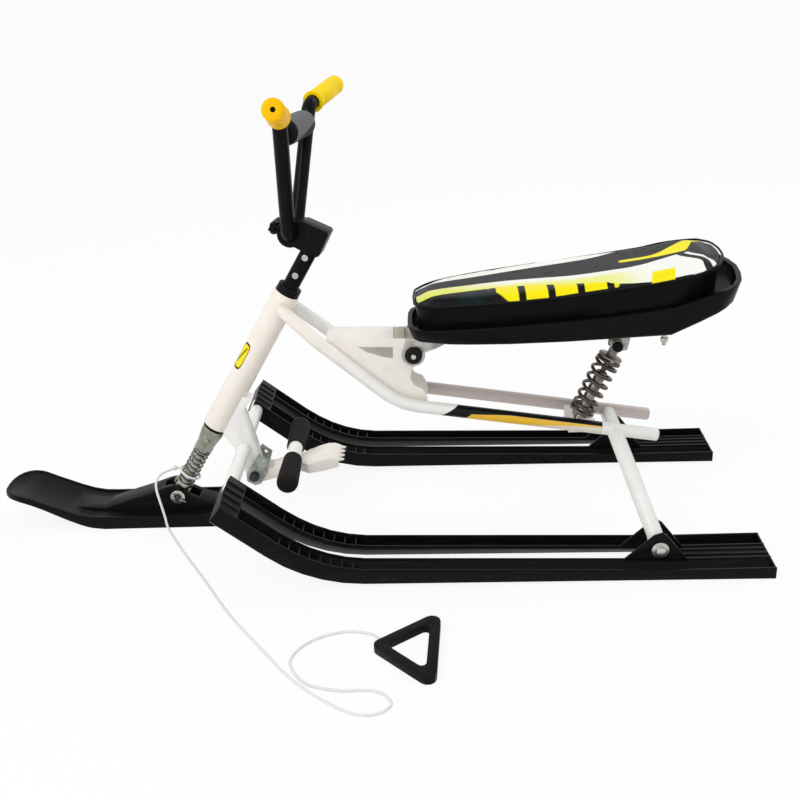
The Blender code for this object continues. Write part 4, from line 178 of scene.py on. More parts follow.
# %% A finish
class Finish(Wiring):
    """A material for one kind of surface. Colours are linear RGB."""

    def __init__(self, name, colour, roughness, metallic=0.0, coat=0.0, specular=0.5):
        self.material = bpy.data.materials.new(name)
        self.material.use_nodes = True
        super().__init__(self.material.node_tree)
        self.shader = self.tree.nodes["Principled BSDF"]
        self.paint(**{"Base Color": (*colour, 1.0), "Roughness": roughness, "Metallic": metallic,
                      "Coat Weight": coat, "Coat Roughness": 0.12, "Specular IOR Level": specular})
        self.material.diffuse_color = (*colour, 1.0)

    def paint(self, **sockets):
        for name, value in sockets.items():
            self.plug(self.shader.inputs[name], value)
        return self

    def place(self):
        """Object coordinates, which are the sled's own metres."""
        return self.node("ShaderNodeTexCoord", {}, {}, "Object")

    def axes(self):
        """The three object coordinates as separate values."""
        return self.split(self.place())

    def along(self, direction, origin=(0, 0, 0)):
        """How far a point of the surface lies from an origin, measured along a direction."""
        moved = self.node("ShaderNodeVectorMath", {"operation": "SUBTRACT"},
                          {0: self.place(), 1: tuple(origin)})
        return self.node("ShaderNodeVectorMath", {"operation": "DOT_PRODUCT"},
                         {0: moved, 1: tuple(direction)}, 1)

    def stretched(self, scale):
        """Object coordinates scaled unevenly, for grain that runs one way."""
        return self.node("ShaderNodeVectorMath", {"operation": "MULTIPLY"}, {0: self.place(), 1: scale})

    def noise(self, scale, detail=3.0, place=None):
        return self.node("ShaderNodeTexNoise", {},
                         {"Vector": place or self.place(), "Scale": scale, "Detail": detail})

    def cells(self, scale):
        return self.node("ShaderNodeTexVoronoi", {"feature": "F1"}, {"Vector": self.place(), "Scale": scale})

    def mix(self, mask, first, second):
        """A colour between two colours."""
        ends = [value if isinstance(value, Flow) else (*value, 1.0) for value in (first, second)]
        return self.node("ShaderNodeMix", {"data_type": "RGBA"}, {0: mask, 6: ends[0], 7: ends[1]}, 2)

    def relief(self, height, depth, strength=1.0):
        """Bump by a height from 0 to 1, which stands for this many metres."""
        bump = self.node("ShaderNodeBump", {},
                         {"Height": height, "Distance": depth, "Strength": strength})
        return self.paint(Normal=bump)


# %% [markdown]
# ## Shapes by pushing and swinging
# Tubes, cords and springs are all one circle that travels. Pushing its edges straight out makes a
# straight run, and swinging them about a centre with the spin operator makes a bend whose radius is
# exactly the tube bender's. A curve with a bevel would be quicker, but its bends only come close.
# A turned piece, such as a grip or a bush, is a profile spun round an axis.

# %% Helpers for placing
def turned_to(direction):
    """Rotation that takes +Z to a direction."""
    return Vector(direction).to_track_quat("Z", "Y").to_matrix().to_4x4()


def mirrored(points):
    """The same points on the sled's other side."""
    return [Vector((x, -y, z)) for x, y, z in points]


def spin(bm, items, centre, axis, angle, steps, rise=(0, 0, 0), closed=False):
    """Swing edges about an axis and return the last ring of edges."""
    made = bmesh.ops.spin(bm, geom=items, cent=centre, axis=axis, dvec=rise, angle=angle,
                          steps=steps, use_merge=closed, use_duplicate=False)
    return [item for item in made["geom_last"] if isinstance(item, bmesh.types.BMEdge)]


def pushed(bm, edges, matrix):
    """Extrude a ring of edges and move the new ring by a matrix."""
    made = bmesh.ops.extrude_edge_only(bm, edges=edges)["geom"]
    fresh = {item for item in made if isinstance(item, bmesh.types.BMVert)}
    bmesh.ops.transform(bm, matrix=matrix, verts=list(fresh))
    return [item for item in made if isinstance(item, bmesh.types.BMEdge) and set(item.verts) <= fresh]


# %% A bent tube
BEND_STEP = 0.12   # radians between two rings of a bend


def bent_tube(corners, bends, radius, sides):
    """A circle pushed along straight runs and swung round a bend at each inner corner."""
    corners = [Vector(corner) for corner in corners]
    bm = bmesh.new()
    here = corners[0]
    ring_place = Matrix.Translation(here) @ turned_to(corners[1] - here)
    bmesh.ops.create_circle(bm, cap_ends=True, segments=sides, radius=radius, matrix=ring_place)
    edges = bm.edges[:]
    for before, corner, after, bend in zip(corners, corners[1:], corners[2:], bends):
        way, new_way = (corner - before).normalized(), (after - corner).normalized()
        angle = way.angle(new_way)
        start = corner - way * bend * tan(angle / 2)
        edges = pushed(bm, edges, Matrix.Translation(start - here))
        axis = way.cross(new_way).normalized()
        steps = max(3, round(angle / BEND_STEP))
        edges = spin(bm, edges, start + axis.cross(way) * bend, axis, angle, steps)
        here = corner + new_way * bend * tan(angle / 2)
    edges = pushed(bm, edges, Matrix.Translation(corners[-1] - here))
    bmesh.ops.edgeloop_fill(bm, edges=edges)
    return bm


# %% A turned piece
def turned(profile, start, direction, steps=40):
    """A line of (radius, height) points spun once round an axis."""
    bm = bmesh.new()
    points = [bm.verts.new((radius, 0.0, height)) for radius, height in profile]
    lines = [bm.edges.new(pair) for pair in zip(points, points[1:])]
    spin(bm, points + lines, (0, 0, 0), (0, 0, 1), 2 * pi, steps, closed=True)
    bmesh.ops.remove_doubles(bm, verts=bm.verts, dist=1e-6)
    bmesh.ops.transform(bm, matrix=Matrix.Translation(start) @ turned_to(direction), verts=bm.verts)
    return bm


# %% A coil spring
PER_TURN, WIRE_SIDES, CLOSED_GAP = 32, 14, 0.0007


def coil(low, high, radius, wire, turns):
    """A round wire swung about an axis while it climbs, with one closed turn at each end."""
    low, high = Vector(low), Vector(high)
    up = (high - low).normalized()
    side = Vector((0.0, 1.0, 0.0))
    start = low + up * wire / 2 + up.cross(side).normalized() * radius
    closed_pitch = wire + CLOSED_GAP
    open_pitch = ((high - low).length - wire - 2 * closed_pitch) / (turns - 2)
    bm = bmesh.new()
    bmesh.ops.create_circle(bm, cap_ends=True, segments=WIRE_SIDES, radius=wire / 2,
                            matrix=Matrix.Translation(start) @ turned_to(side))
    edges = bm.edges[:]
    for count, pitch in ((1, closed_pitch), (turns - 2, open_pitch), (1, closed_pitch)):
        edges = spin(bm, edges, low, -up, 2 * pi * count, PER_TURN * count, rise=up * (pitch / PER_TURN))
    bmesh.ops.edgeloop_fill(bm, edges=edges)
    return bm


# %% Several shapes as one
def together(*parts):
    """One bmesh that holds several."""
    whole = bmesh.new()
    for part in parts:
        mesh = bpy.data.meshes.new("part")
        part.to_mesh(mesh)
        part.free()
        whole.from_mesh(mesh)
        bpy.data.meshes.remove(mesh)
    return whole


# %% Round the edges and finish a piece
def rounded(bm, size, sharp=32, segments=2):
    """Round every edge that is sharper than an angle in degrees."""
    edges = [edge for edge in bm.edges
             if edge.is_manifold and edge.calc_face_angle(0.0) > radians(sharp)]
    bmesh.ops.bevel(bm, geom=edges, offset=size, offset_type="OFFSET", segments=segments, profile=0.5,
                    affect="EDGES", clamp_overlap=True, material=-1)
    return bm


def finished(name, bm, finish, body, *nodes, outward=True, sharp=35):
    """Make a bmesh a piece that rides on a body and stands for some nodes."""
    if outward:
        bmesh.ops.recalc_face_normals(bm, faces=bm.faces)
    mesh = bpy.data.meshes.new(name)
    bm.to_mesh(mesh)
    bm.free()
    mesh.materials.append(finish.material)
    mesh.shade_smooth()
    mesh.set_sharp_from_angle(angle=radians(sharp))
    piece = bpy.data.objects.new(name, mesh)
    bpy.context.scene.collection.objects.link(piece)
    if body:
        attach(piece, body)
    if nodes:
        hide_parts(*nodes)
    return piece


# %% Start from a solid
WELD = 2e-5   # metres between corners that are one


def from_solid(node, size=0.0, segments=2):
    """A welded copy of a node's mesh, with its flat faces joined and its edges rounded."""
    bm = bmesh.new()
    bm.from_mesh(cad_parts[node].data)
    bmesh.ops.remove_doubles(bm, verts=bm.verts, dist=WELD)
    bmesh.ops.dissolve_limit(bm, angle_limit=radians(1.0), verts=bm.verts, edges=bm.edges)
    if size:
        rounded(bm, size, segments=segments)
    return bm


# %% [markdown]
# ## The tow cord comes first
# A white braided cord is tied round the front spring, falls beside the ski, and lies on the ground in
# one loose loop as far as its black handle. Its length is fixed, so its line is settled before
# anything else. A curve object would do, but a mesh lets the braid follow the line through UVs.

# %% The cord's line
CORD_RADIUS = 0.0020
CORD_ROUTE = (
    (-0.3235, -0.0045, 0.0845), (-0.3385, -0.0150, 0.0815), (-0.3450, -0.0300, 0.0755),
    (-0.3425, -0.0450, 0.0665), (-0.3355, -0.0580, 0.0510), (-0.3295, -0.0645, 0.0295),
    (-0.3260, -0.0680, 0.0110), (-0.3170, -0.0800, 0.0023), (-0.2857, -0.1379, 0.0020),
    (-0.2400, -0.2173, 0.0020), (-0.1890, -0.3080, 0.0020), (-0.1346, -0.3883, 0.0020),
    (-0.0896, -0.4523, 0.0020), (-0.0457, -0.4975, 0.0020), (-0.0022, -0.5283, 0.0020),
    (0.0300, -0.5300, 0.0020), (0.0465, -0.5100, 0.0020), (0.0247, -0.4858, 0.0020),
    (-0.0242, -0.4829, 0.0020), (-0.0666, -0.4662, 0.0020), (-0.0900, -0.4210, 0.0020),
    (-0.0696, -0.3792, 0.0020), (-0.0263, -0.3566, 0.0020), (0.0090, -0.3610, 0.0030),
    (0.0240, -0.3745, 0.0055), (0.0335, -0.3895, 0.0060))


def smooth_line(route, count):
    """Evenly spaced points on the smooth curve through a route, and its length."""
    route = [Vector(place) for place in route]
    padded = [2 * route[0] - route[1]] + route + [2 * route[-1] - route[-2]]
    fine = []
    for a, b, c, d in zip(padded, padded[1:], padded[2:], padded[3:]):
        for step in range(24):
            t = step / 24
            fine.append(0.5 * (2 * b + (c - a) * t + (2 * a - 5 * b + 4 * c - d) * t ** 2
                               + (3 * b - a - 3 * c + d) * t ** 3))
    fine.append(route[-1])
    walked = [0.0]
    for a, b in zip(fine, fine[1:]):
        walked.append(walked[-1] + (b - a).length)
    line, index = [], 0
    for number in range(count):
        target = walked[-1] * number / (count - 1)
        while index < len(fine) - 2 and walked[index + 1] < target:
            index += 1
        share = (target - walked[index]) / (walked[index + 1] - walked[index])
        line.append(fine[index].lerp(fine[index + 1], share))
    return line, walked[-1]


cord_line, cord_length = smooth_line(CORD_ROUTE, 260)
cord_line = [Vector((p.x, p.y, max(p.z, CORD_RADIUS))) for p in cord_line]
print("tow cord: %.3f m long" % cord_length)


# %% A rope along a line
def rope(line, radius, sides, loop=False):
    """A circle pushed from point to point. Its UVs, along the rope in metres and once round it, come from
    rope_uvs.
    """
    bm = bmesh.new()
    way = (line[1] - line[0]).normalized()
    frame_now = Matrix.Translation(line[0]) @ turned_to(way)
    bmesh.ops.create_circle(bm, cap_ends=not loop, segments=sides, radius=radius, matrix=frame_now)
    first = ring = bm.edges[:]
    for index in range(1, len(line)):
        following = line[(index + 1) % len(line)] if loop or index + 1 < len(line) else None
        new_way = (following - line[index - 1]).normalized() if following is not None else way
        swing = way.rotation_difference(new_way).to_matrix().to_4x4()
        move = Matrix.Translation(line[index]) @ swing @ Matrix.Translation(-line[index - 1])
        ring = pushed(bm, ring, move)
        way = new_way
    if loop:
        bmesh.ops.bridge_loops(bm, edges=first + ring)
    else:
        bmesh.ops.edgeloop_fill(bm, edges=ring)
    return bm


def rope_uvs(bm, sides, spacing):
    """Write each quad's place along and round the rope, from the order in which it was made."""
    layer = bm.loops.layers.uv.new("lay")
    quads = [face for face in bm.faces if len(face.verts) == 4]
    for number, face in enumerate(quads):
        row, column = divmod(number, sides)
        for loop in face.loops:
            late = loop.vert.index // sides > row
            turned_on = loop.vert.index % sides != face.loops[0].vert.index % sides
            around = column + turned_on
            loop[layer].uv = (around / sides, (row + late) * spacing)


# %% [markdown]
# ## Finishes
# Each finish starts from the plain colour of the real material. Then it gets what a close look shows:
# orange peel in the powder coat, the fine grain of a moulded ski and the scratches along its sole,
# dull and bright patches on zinc plate. A texture picture would need UVs on every piece; procedural
# nodes in object coordinates need none, and they have the right scale from the start.

# %% Powder coat and black enamel
COAT_WEIGHT = 0.35   # clear gloss on the powder coat, which a printed film takes away


def powder_coat(name, colour, roughness=0.32, colour_on=None):
    """Thick paint with orange peel, a little grime and rubbed places, and on some tubes a printed film and
    painted shade.
    """
    coat = Finish(name, colour, roughness, coat=COAT_WEIGHT, specular=0.2)
    grime = coat.noise(38, 6).step(0.50, 0.72)
    rubbed = coat.noise(9, 4).step(0.35, 0.70)
    tint = tuple(part * 0.90 for part in colour[:2]) + (colour[2] * 0.84,)
    base = coat.mix(grime * 0.45, colour, tint)
    coat.paint(**{"Base Color": colour_on(coat, base) if colour_on else base,
                  "Roughness": roughness + grime * 0.16 - rubbed * 0.08})
    return coat.relief(coat.noise(420, 2) + coat.noise(90, 1) * 0.6, 0.00012, 0.5)


def enamel(name, colour=(0.0024, 0.0024, 0.0027), roughness=0.20):
    """Smooth gloss paint with hairline scratches."""
    paint = Finish(name, colour, roughness, coat=0.02, specular=0.07)
    hair = paint.noise(60, 8, paint.stretched((6, 6, 0.6))).step(0.58, 0.64)
    cloud = paint.noise(24, 3)
    paint.paint(**{"Base Color": paint.mix(hair * 0.30 + cloud * 0.08, colour, (0.018, 0.018, 0.019)),
                   "Roughness": roughness + cloud * 0.14 + hair * 0.12})
    return paint.relief(paint.noise(300, 2), 0.00006, 0.4)


STEER_FOOT = Vector((-0.3155, 0.0, 0.0411))
STEER_TILT = radians(31.1)
STEER_UP = Vector((sin(STEER_TILT), 0.0, cos(STEER_TILT)))
STEER_AHEAD = Vector((-cos(STEER_TILT), 0.0, sin(STEER_TILT)))
MAIN_CORNER, MAIN_END = Vector((0.0562, -0.0400, 0.2051)), Vector((0.4600, -0.0400, 0.1405))


def head_patch(coat, base):
    """A small rounded patch of yellow film with a dark edge, on the flank of the head tube."""
    height = coat.along(STEER_UP, STEER_FOOT + STEER_UP * 0.273) / 0.0235
    ahead, aside = coat.along(STEER_AHEAD, STEER_FOOT), coat.along((0, -1, 0))
    across = (ahead.math("ARCTAN2", ahead, aside) - 0.90) * 0.0205 / 0.0088
    distance = height ** 4 + across ** 4
    on = distance.step(1.04, 0.96)
    fleck = (abs(height * 0.5 + across * 0.6 - 0.1)).step(0.16, 0.10) * distance.step(0.30, 0.15)
    coat.paint(**{"Coat Weight": COAT_WEIGHT - on * 0.30})
    film = coat.mix(distance.step(0.50, 0.62), (0.92, 0.76, 0.006), (0.012, 0.010, 0.005))
    return coat.mix(on, base, coat.mix(fleck * 0.8, film, (0.10, 0.07, 0.012)))


def tube_flash(coat, base):
    """A long black and orange-yellow film that wraps the left main tube's outer side, with painted warm
    shade at the tube's front.
    """
    way = (MAIN_END - MAIN_CORNER).normalized()
    run = coat.along(way, MAIN_CORNER)
    rise = coat.along((-way.z, 0.0, way.x), MAIN_CORNER)
    outer = coat.along((0, -1, 0), (0, -0.0365, 0)).step(0.0, 0.0005)
    shown = (run - rise * 1.3).step(0.0765, 0.0775) * run.step(0.3200, 0.3190) * outer
    line = rise - run.step(0.100, 0.180) * 0.0052
    paler = line.step(0.0010, 0.0004) * (run - rise * 0.9).step(0.1120, 0.1128)
    yellow = paler * (rise - run.step(0.150, 0.318) * 0.0130).step(-0.0102, -0.0085)
    faded = run.step(0.18, 0.34) * 0.30
    coat.paint(**{"Coat Weight": COAT_WEIGHT - shown * COAT_WEIGHT})
    film = coat.mix(paler, (0.003, 0.003, 0.004), (0.82, 0.76, 0.66))
    film = coat.mix(yellow, film, coat.mix(faded, (0.88, 0.52, 0.035), (0.88, 0.62, 0.25)))
    # The front of the left tube, towards the head tube, is tinted cream: painted warm shade on white paint.
    painted_warm_shade = coat.mix(coat.axes()[0].step(0.02, -0.09) * 0.8, base, (0.88, 0.80, 0.72))
    return coat.mix(shown, painted_warm_shade, film)


def rear_painted_shade(coat, base):
    """Painted shade on the right main tube, from the bracket to its rear end, under the seat."""
    return coat.mix(coat.axes()[0].step(0.03, 0.10), base, (0.60, 0.515, 0.49))


white_coat = powder_coat("white_powder_coat", (0.91, 0.90, 0.87))
head_coat = powder_coat("head_tube_powder_coat", (0.90, 0.835, 0.755), colour_on=head_patch)
flash_coat = powder_coat("left_tube_powder_coat", (0.91, 0.90, 0.87), colour_on=tube_flash)
# The right tube has the same white paint as the left one: its greyer white and darker rear are painted
# shade.
shaded_right_coat = powder_coat("right_tube_shaded_powder_coat", (0.86, 0.86, 0.84), colour_on=rear_painted_shade)
plate_coat = powder_coat("bracket_powder_coat", (0.88, 0.835, 0.775), 0.38)
black_enamel = enamel("black_bar_enamel")
stem_enamel = enamel("black_stem_enamel", (0.0035, 0.0035, 0.0038), 0.28)


# %% Moulded plastics and rubber
def moulded(name, colour, roughness, grain, scratch=0.0, depth=0.00012, colour_on=None):
    """Injection-moulded plastic: fine spark-eroded grain, and scuffs that run along the sled."""
    plastic = Finish(name, colour, roughness, specular=0.07)
    pits = plastic.cells(grain)
    scuff = plastic.noise(55, 9, plastic.stretched((0.35, 5, 5))).step(0.56, 0.66) * scratch
    bloom = plastic.noise(14, 5)
    light = tuple(min(1.0, part * 1.7 + 0.007) for part in colour)
    base = plastic.mix(scuff * 0.5 + bloom * 0.14, colour, light)
    plastic.paint(**{"Base Color": colour_on(plastic, base) if colour_on else base,
                     "Roughness": roughness - 0.10 + bloom * 0.20 + scuff * 0.12})
    return plastic.relief(pits + scuff * 0.4, depth, 0.5)


def grey_brown_tip(plastic, base):
    """The skis' square front end faces, coloured a lighter grey-brown."""
    ends = [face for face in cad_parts["side_ski_left"].data.polygons
            if face.normal.x < -0.5 and face.center.x < -0.14]
    end = max(ends, key=lambda face: face.area)
    on_plane = plastic.along(end.normal, end.center).band(-0.0007, 0.0007, 0.0002)
    # The mask picks only the end face, by its facing and position, and colours it grey-brown.
    rubbed = on_plane * plastic.axes()[0].step(-0.12, -0.13)
    print("ski tip: end face at x %.3f, facing %.2f, %.2f, %.2f" % (end.center.x, *end.normal))
    return plastic.mix(rubbed * 0.9, base, (0.27, 0.22, 0.19))


ski_plastic = moulded("ski_plastic", (0.0042, 0.0042, 0.0047), 0.34, 1400, 0.8, colour_on=grey_brown_tip)
front_plastic = moulded("front_ski_plastic", (0.0040, 0.0042, 0.0045), 0.34, 1600, 0.6)
tray_plastic = moulded("seat_tray_plastic", (0.0035, 0.0035, 0.0038), 0.30, 1900, 0.3, 0.00006)
small_plastic = moulded("small_black_plastic", (0.0060, 0.0060, 0.0065), 0.42, 1500)
plug_plastic = moulded("tube_plug_plastic", (0.62, 0.58, 0.54), 0.45, 1500)
block_plastic = moulded("stop_block_plastic", (0.50, 0.47, 0.36), 0.50, 1500)
handle_plastic = moulded("handle_plastic", (0.0060, 0.0060, 0.0065), 0.36, 1300, 0.3)
peg_rubber = moulded("peg_rubber", (0.0130, 0.0115, 0.0110), 0.60, 1100, 0.0, 0.0002)
# The two grips are one yellow rubber in two tints: the left grip's deeper orange is painted shade.
grip_rubber = moulded("shaded_yellow_grip_rubber", (0.95, 0.50, 0.002), 0.46, 700, 0.0, 0.00025)
grip_lemon = moulded("lemon_grip_rubber", (0.95, 0.66, 0.003), 0.46, 700, 0.0, 0.00025)


# %% Plated and bare metal
def plated(name, colour, roughness, brushed=(1, 1, 1)):
    """Zinc or steel with bright and dull patches and a faint grain."""
    metal = Finish(name, colour, roughness, metallic=1.0)
    patch = metal.noise(70, 6).step(0.38, 0.68)
    grain = metal.noise(500, 3, metal.stretched(brushed))
    dull = tuple(part * 0.62 for part in colour)
    metal.paint(**{"Base Color": metal.mix(patch * 0.75, colour, dull),
                   "Roughness": roughness + patch * 0.18 + grain * 0.08})
    return metal.relief(grain, 0.00008, 0.4)


zinc = plated("zinc_plate", (0.60, 0.60, 0.55), 0.26)
crown_zinc = plated("crown_zinc_plate", (0.34, 0.35, 0.29), 0.26)
spring_steel = plated("spring_steel", (0.27, 0.27, 0.24), 0.18)
shock_steel = plated("shock_spring_steel", (0.120, 0.098, 0.090), 0.18)
shock_grey = plated("shock_body_metal", (0.26, 0.235, 0.21), 0.30)
bolt_steel = plated("dull_bolt_steel", (0.07, 0.075, 0.08), 0.28)
rail_grey = plated("seat_rail_metal", (0.52, 0.51, 0.47), 0.36, (0.2, 3, 3))
dull_plate = plated("dull_zinc_plate", (0.40, 0.43, 0.40), 0.44, (3, 3, 0.3))
dark_bolt = plated("blackened_bolt", (0.05, 0.05, 0.052), 0.34)
yellow_zinc = plated("yellow_zinc_leaf", (0.62, 0.42, 0.22), 0.38)


# %% Braided cord
STRAND_TURN, STRAND_CLIMB = 8 * pi, 1400   # radians of weave once round the cord, and per metre along it
cord_braid = Finish("white_braid", (0.86, 0.86, 0.84), 0.78)
lay = cord_braid.node("ShaderNodeUVMap", {"uv_map": "lay"}, {})
around, along = cord_braid.split(lay)[:2]
turn, climb = around * STRAND_TURN, along * STRAND_CLIMB
strands = (turn + climb).wave() * (turn - climb).wave()
fuzz = cord_braid.noise(900, 4)
cord_braid.paint(**{"Base Color": cord_braid.mix(strands.step(-0.6, 0.6) * 0.6 + fuzz * 0.2,
                                                 (0.72, 0.72, 0.69), (0.93, 0.93, 0.91))})
cord_braid.relief(strands, 0.0002, 0.8)

# %% Cord, knot and handle
def steer_point(height, forward=0.0):
    """A point on the steering axis, or moved forward square to it."""
    return STEER_FOOT + STEER_UP * height + STEER_AHEAD * forward


CORD_SIDES = 12
bm = rope(cord_line, CORD_RADIUS, CORD_SIDES)
bm.verts.index_update()
rope_uvs(bm, CORD_SIDES, cord_length / (len(cord_line) - 1))
tow_cord = finished("braided_tow_cord", bm, cord_braid, "frame", "tow_cord", sharp=80)

finished("tow_cord_handle", from_solid("tow_handle", 0.0042, 4), handle_plastic, "frame", "tow_handle",
         sharp=60)
knot = finished("tow_cord_knot", from_solid("tow_knot"), cord_braid, "frame", "tow_knot", sharp=80)

# %% [markdown]
# ## Bent tubes
# The frame is steel tube, bent cold on a former and welded. A bend's radius is the former's, so each
# tube is a circle pushed along its straight runs and swung round its bends. Where tubes meet, they
# run into each other, as they do under a weld.

# %% Frame tubes
TUBE_SIDES, TUBE_ROUND = 32, 0.0008
MAIN_RADIUS, CROSS_RADIUS, ARCH_RADIUS = 0.0100, 0.0110, 0.01225


def tube(name, corners, bends, radius, finish, node):
    """A bent tube of the frame with closed, slightly rounded ends."""
    shape = rounded(bent_tube(corners, bends, radius, TUBE_SIDES), TUBE_ROUND)
    piece = finished(name, shape, finish, "frame", node)
    print("%s: %d faces" % (name, len(piece.data.polygons)))
    return piece


main_right = [(-0.1240, 0.0245, 0.3640), (-0.0640, 0.0400, 0.3101),
              (0.0562, 0.0400, 0.2051), (0.4600, 0.0400, 0.1405)]
main_bends = (0.080, 0.110)
tube("right_main_tube", main_right, main_bends, MAIN_RADIUS, shaded_right_coat, "main_tube_right")
tube("left_main_tube", mirrored(main_right), main_bends, MAIN_RADIUS, flash_coat, "main_tube_left")
cross_right = [(-0.2005, 0.1680, 0.1220)]
tube("cross_tube", mirrored(cross_right) + cross_right, (), CROSS_RADIUS, white_coat, "front_cross_tube")
arch_right = [(0.4345, 0.1920, 0.0220), (0.4345, 0.1920, 0.0420), (0.3940, 0.0520, 0.1462)]
tube("bent_rear_arch", mirrored(arch_right) + arch_right[::-1], (0.020, 0.036, 0.036, 0.020), ARCH_RADIUS,
     white_coat, "rear_arch")

# %% Head tube
HEAD_LOW, HEAD_LENGTH = 0.1385, 0.2565
HEAD_BORE, HEAD_OUTSIDE, HEAD_ROUND = 0.0180, 0.0205, 0.0006
head_wall = ((HEAD_BORE, 0.0), (HEAD_OUTSIDE, 0.0), (HEAD_OUTSIDE, HEAD_LENGTH), (HEAD_BORE, HEAD_LENGTH),
             (HEAD_BORE, 0.0))
finished("head_tube_coat", rounded(turned(head_wall, steer_point(HEAD_LOW), STEER_UP, 56), HEAD_ROUND),
         head_coat, "frame", "head_tube")

# %% [markdown]
# ## Handlebar, grips and pad
# One tube makes the whole bar: up from the clamp, out at the shoulders, back along the grips. A second,
# thinner tube braces it and carries a foam pad. The clamp isn't quite square to the ski, so the whole
# set is turned about the steering axis by one matrix, instead of each point by itself.

# %% Handlebar
ASKEW = (Matrix.Translation(STEER_FOOT) @ Matrix.Rotation(radians(-7.0), 4, STEER_UP)
         @ Matrix.Translation(-STEER_FOOT))
BAR_RADIUS, BRACE_RADIUS = 0.0110, 0.0080
SHOULDER_RISE, BRACE_RISE = 0.1777, 0.1544
bar_centre = steer_point(HEAD_LOW + HEAD_LENGTH + 0.08784, 0.03574)
bar_right = [bar_centre + Vector(reach) for reach in (
    (0.0359, 0.2200, 0.1990), (0.0155, 0.1020, SHOULDER_RISE), (0, 0.028, 0))]
brace_right = bar_right[2].lerp(bar_right[1], BRACE_RISE / SHOULDER_RISE)
bar = bent_tube([ASKEW @ place for place in mirrored(bar_right) + bar_right[::-1]],
                (0.022, 0.018, 0.018, 0.022), BAR_RADIUS, 32)
brace = bent_tube([ASKEW @ place for place in mirrored([brace_right]) + [brace_right]], (), BRACE_RADIUS, 24)
finished("bent_handlebar", together(bar, brace), black_enamel, "steering", "handlebar")

# %% Grips
# (radius, distance from the bar's end)
GRIP = (
    (0.0036, -0.0033), (0.0095, -0.0034), (0.0130, -0.0024), (0.0148, -0.0004), (0.0152, 0.0020),
    (0.0152, 0.0180), (0.0148, 0.0186), (0.0148, 0.0200), (0.0152, 0.0206), (0.0152, 0.0860),
    (0.0148, 0.0866), (0.0148, 0.0880), (0.0152, 0.0886), (0.0153, 0.0950), (0.0162, 0.0995),
    (0.0168, 0.1010), (0.0168, 0.1040), (0.0160, 0.1050), (0.0114, 0.1050), (0.0114, -0.0004),
    (0.0036, -0.0004), (0.0036, -0.0033))
for side, name, finish in ((-1, "left", grip_rubber), (1, "right", grip_lemon)):
    end, shoulder = (ASKEW @ Vector((p.x, side * p.y, p.z)) for p in bar_right[:2])
    finished(name + "_grip", turned(GRIP, end, shoulder - end, 48), finish, "steering", "grip_" + name,
             sharp=50)

# %% Foot pegs
PEG_LENGTH, PEG_BORE = 0.0920, 0.0123
PEG_RIBS, RIB_PITCH, RIB_DEPTH = 11, 0.0066, 0.0007
peg_profile = [(PEG_BORE, 0.0), (0.0136, 0.0), (0.0150, 0.0030)]
for rib in range(PEG_RIBS):
    at = 0.0080 + rib * RIB_PITCH
    radius = 0.0152 + 0.0019 * rib / (PEG_RIBS - 1)
    peg_profile += [(radius, at), (radius - RIB_DEPTH, at + 0.0008), (radius - RIB_DEPTH, at + 0.0018),
                    (radius, at + 0.0026)]
peg_profile += [(0.0171, PEG_LENGTH - 0.0110), (0.0163, PEG_LENGTH - 0.0060), (0.0138, PEG_LENGTH - 0.0022),
                (0.0090, PEG_LENGTH - 0.0003), (0.0, PEG_LENGTH), (0.0, PEG_LENGTH - 0.0057),
                (PEG_BORE, PEG_LENGTH - 0.0057), (PEG_BORE, 0.0)]
for side, name in ((-1, "left"), (1, "right")):
    finished(name + "_foot_peg", turned(peg_profile, (-0.1205, side * 0.0215, 0.1050), (0, side, 0), 40),
             peg_rubber, "brake", "foot_peg_" + name, sharp=50)
print("grips and pegs turned, %d ribs on each peg" % PEG_RIBS)

# %% [markdown]
# ## Padded pieces
# The seat is foam under a tight vinyl cover, and the bar pad is a foam sleeve. Both are blown up a
# little by a cloth simulation, which rounds them the way stuffing does: fullest in the middle, held
# back at the edges. A smoothing brush would round them too, but it would also shrink them.

# %% Blow up a form
AIR_PRESSURE, AIR_FRAMES, EVENING = 4.0, 20, 0.35


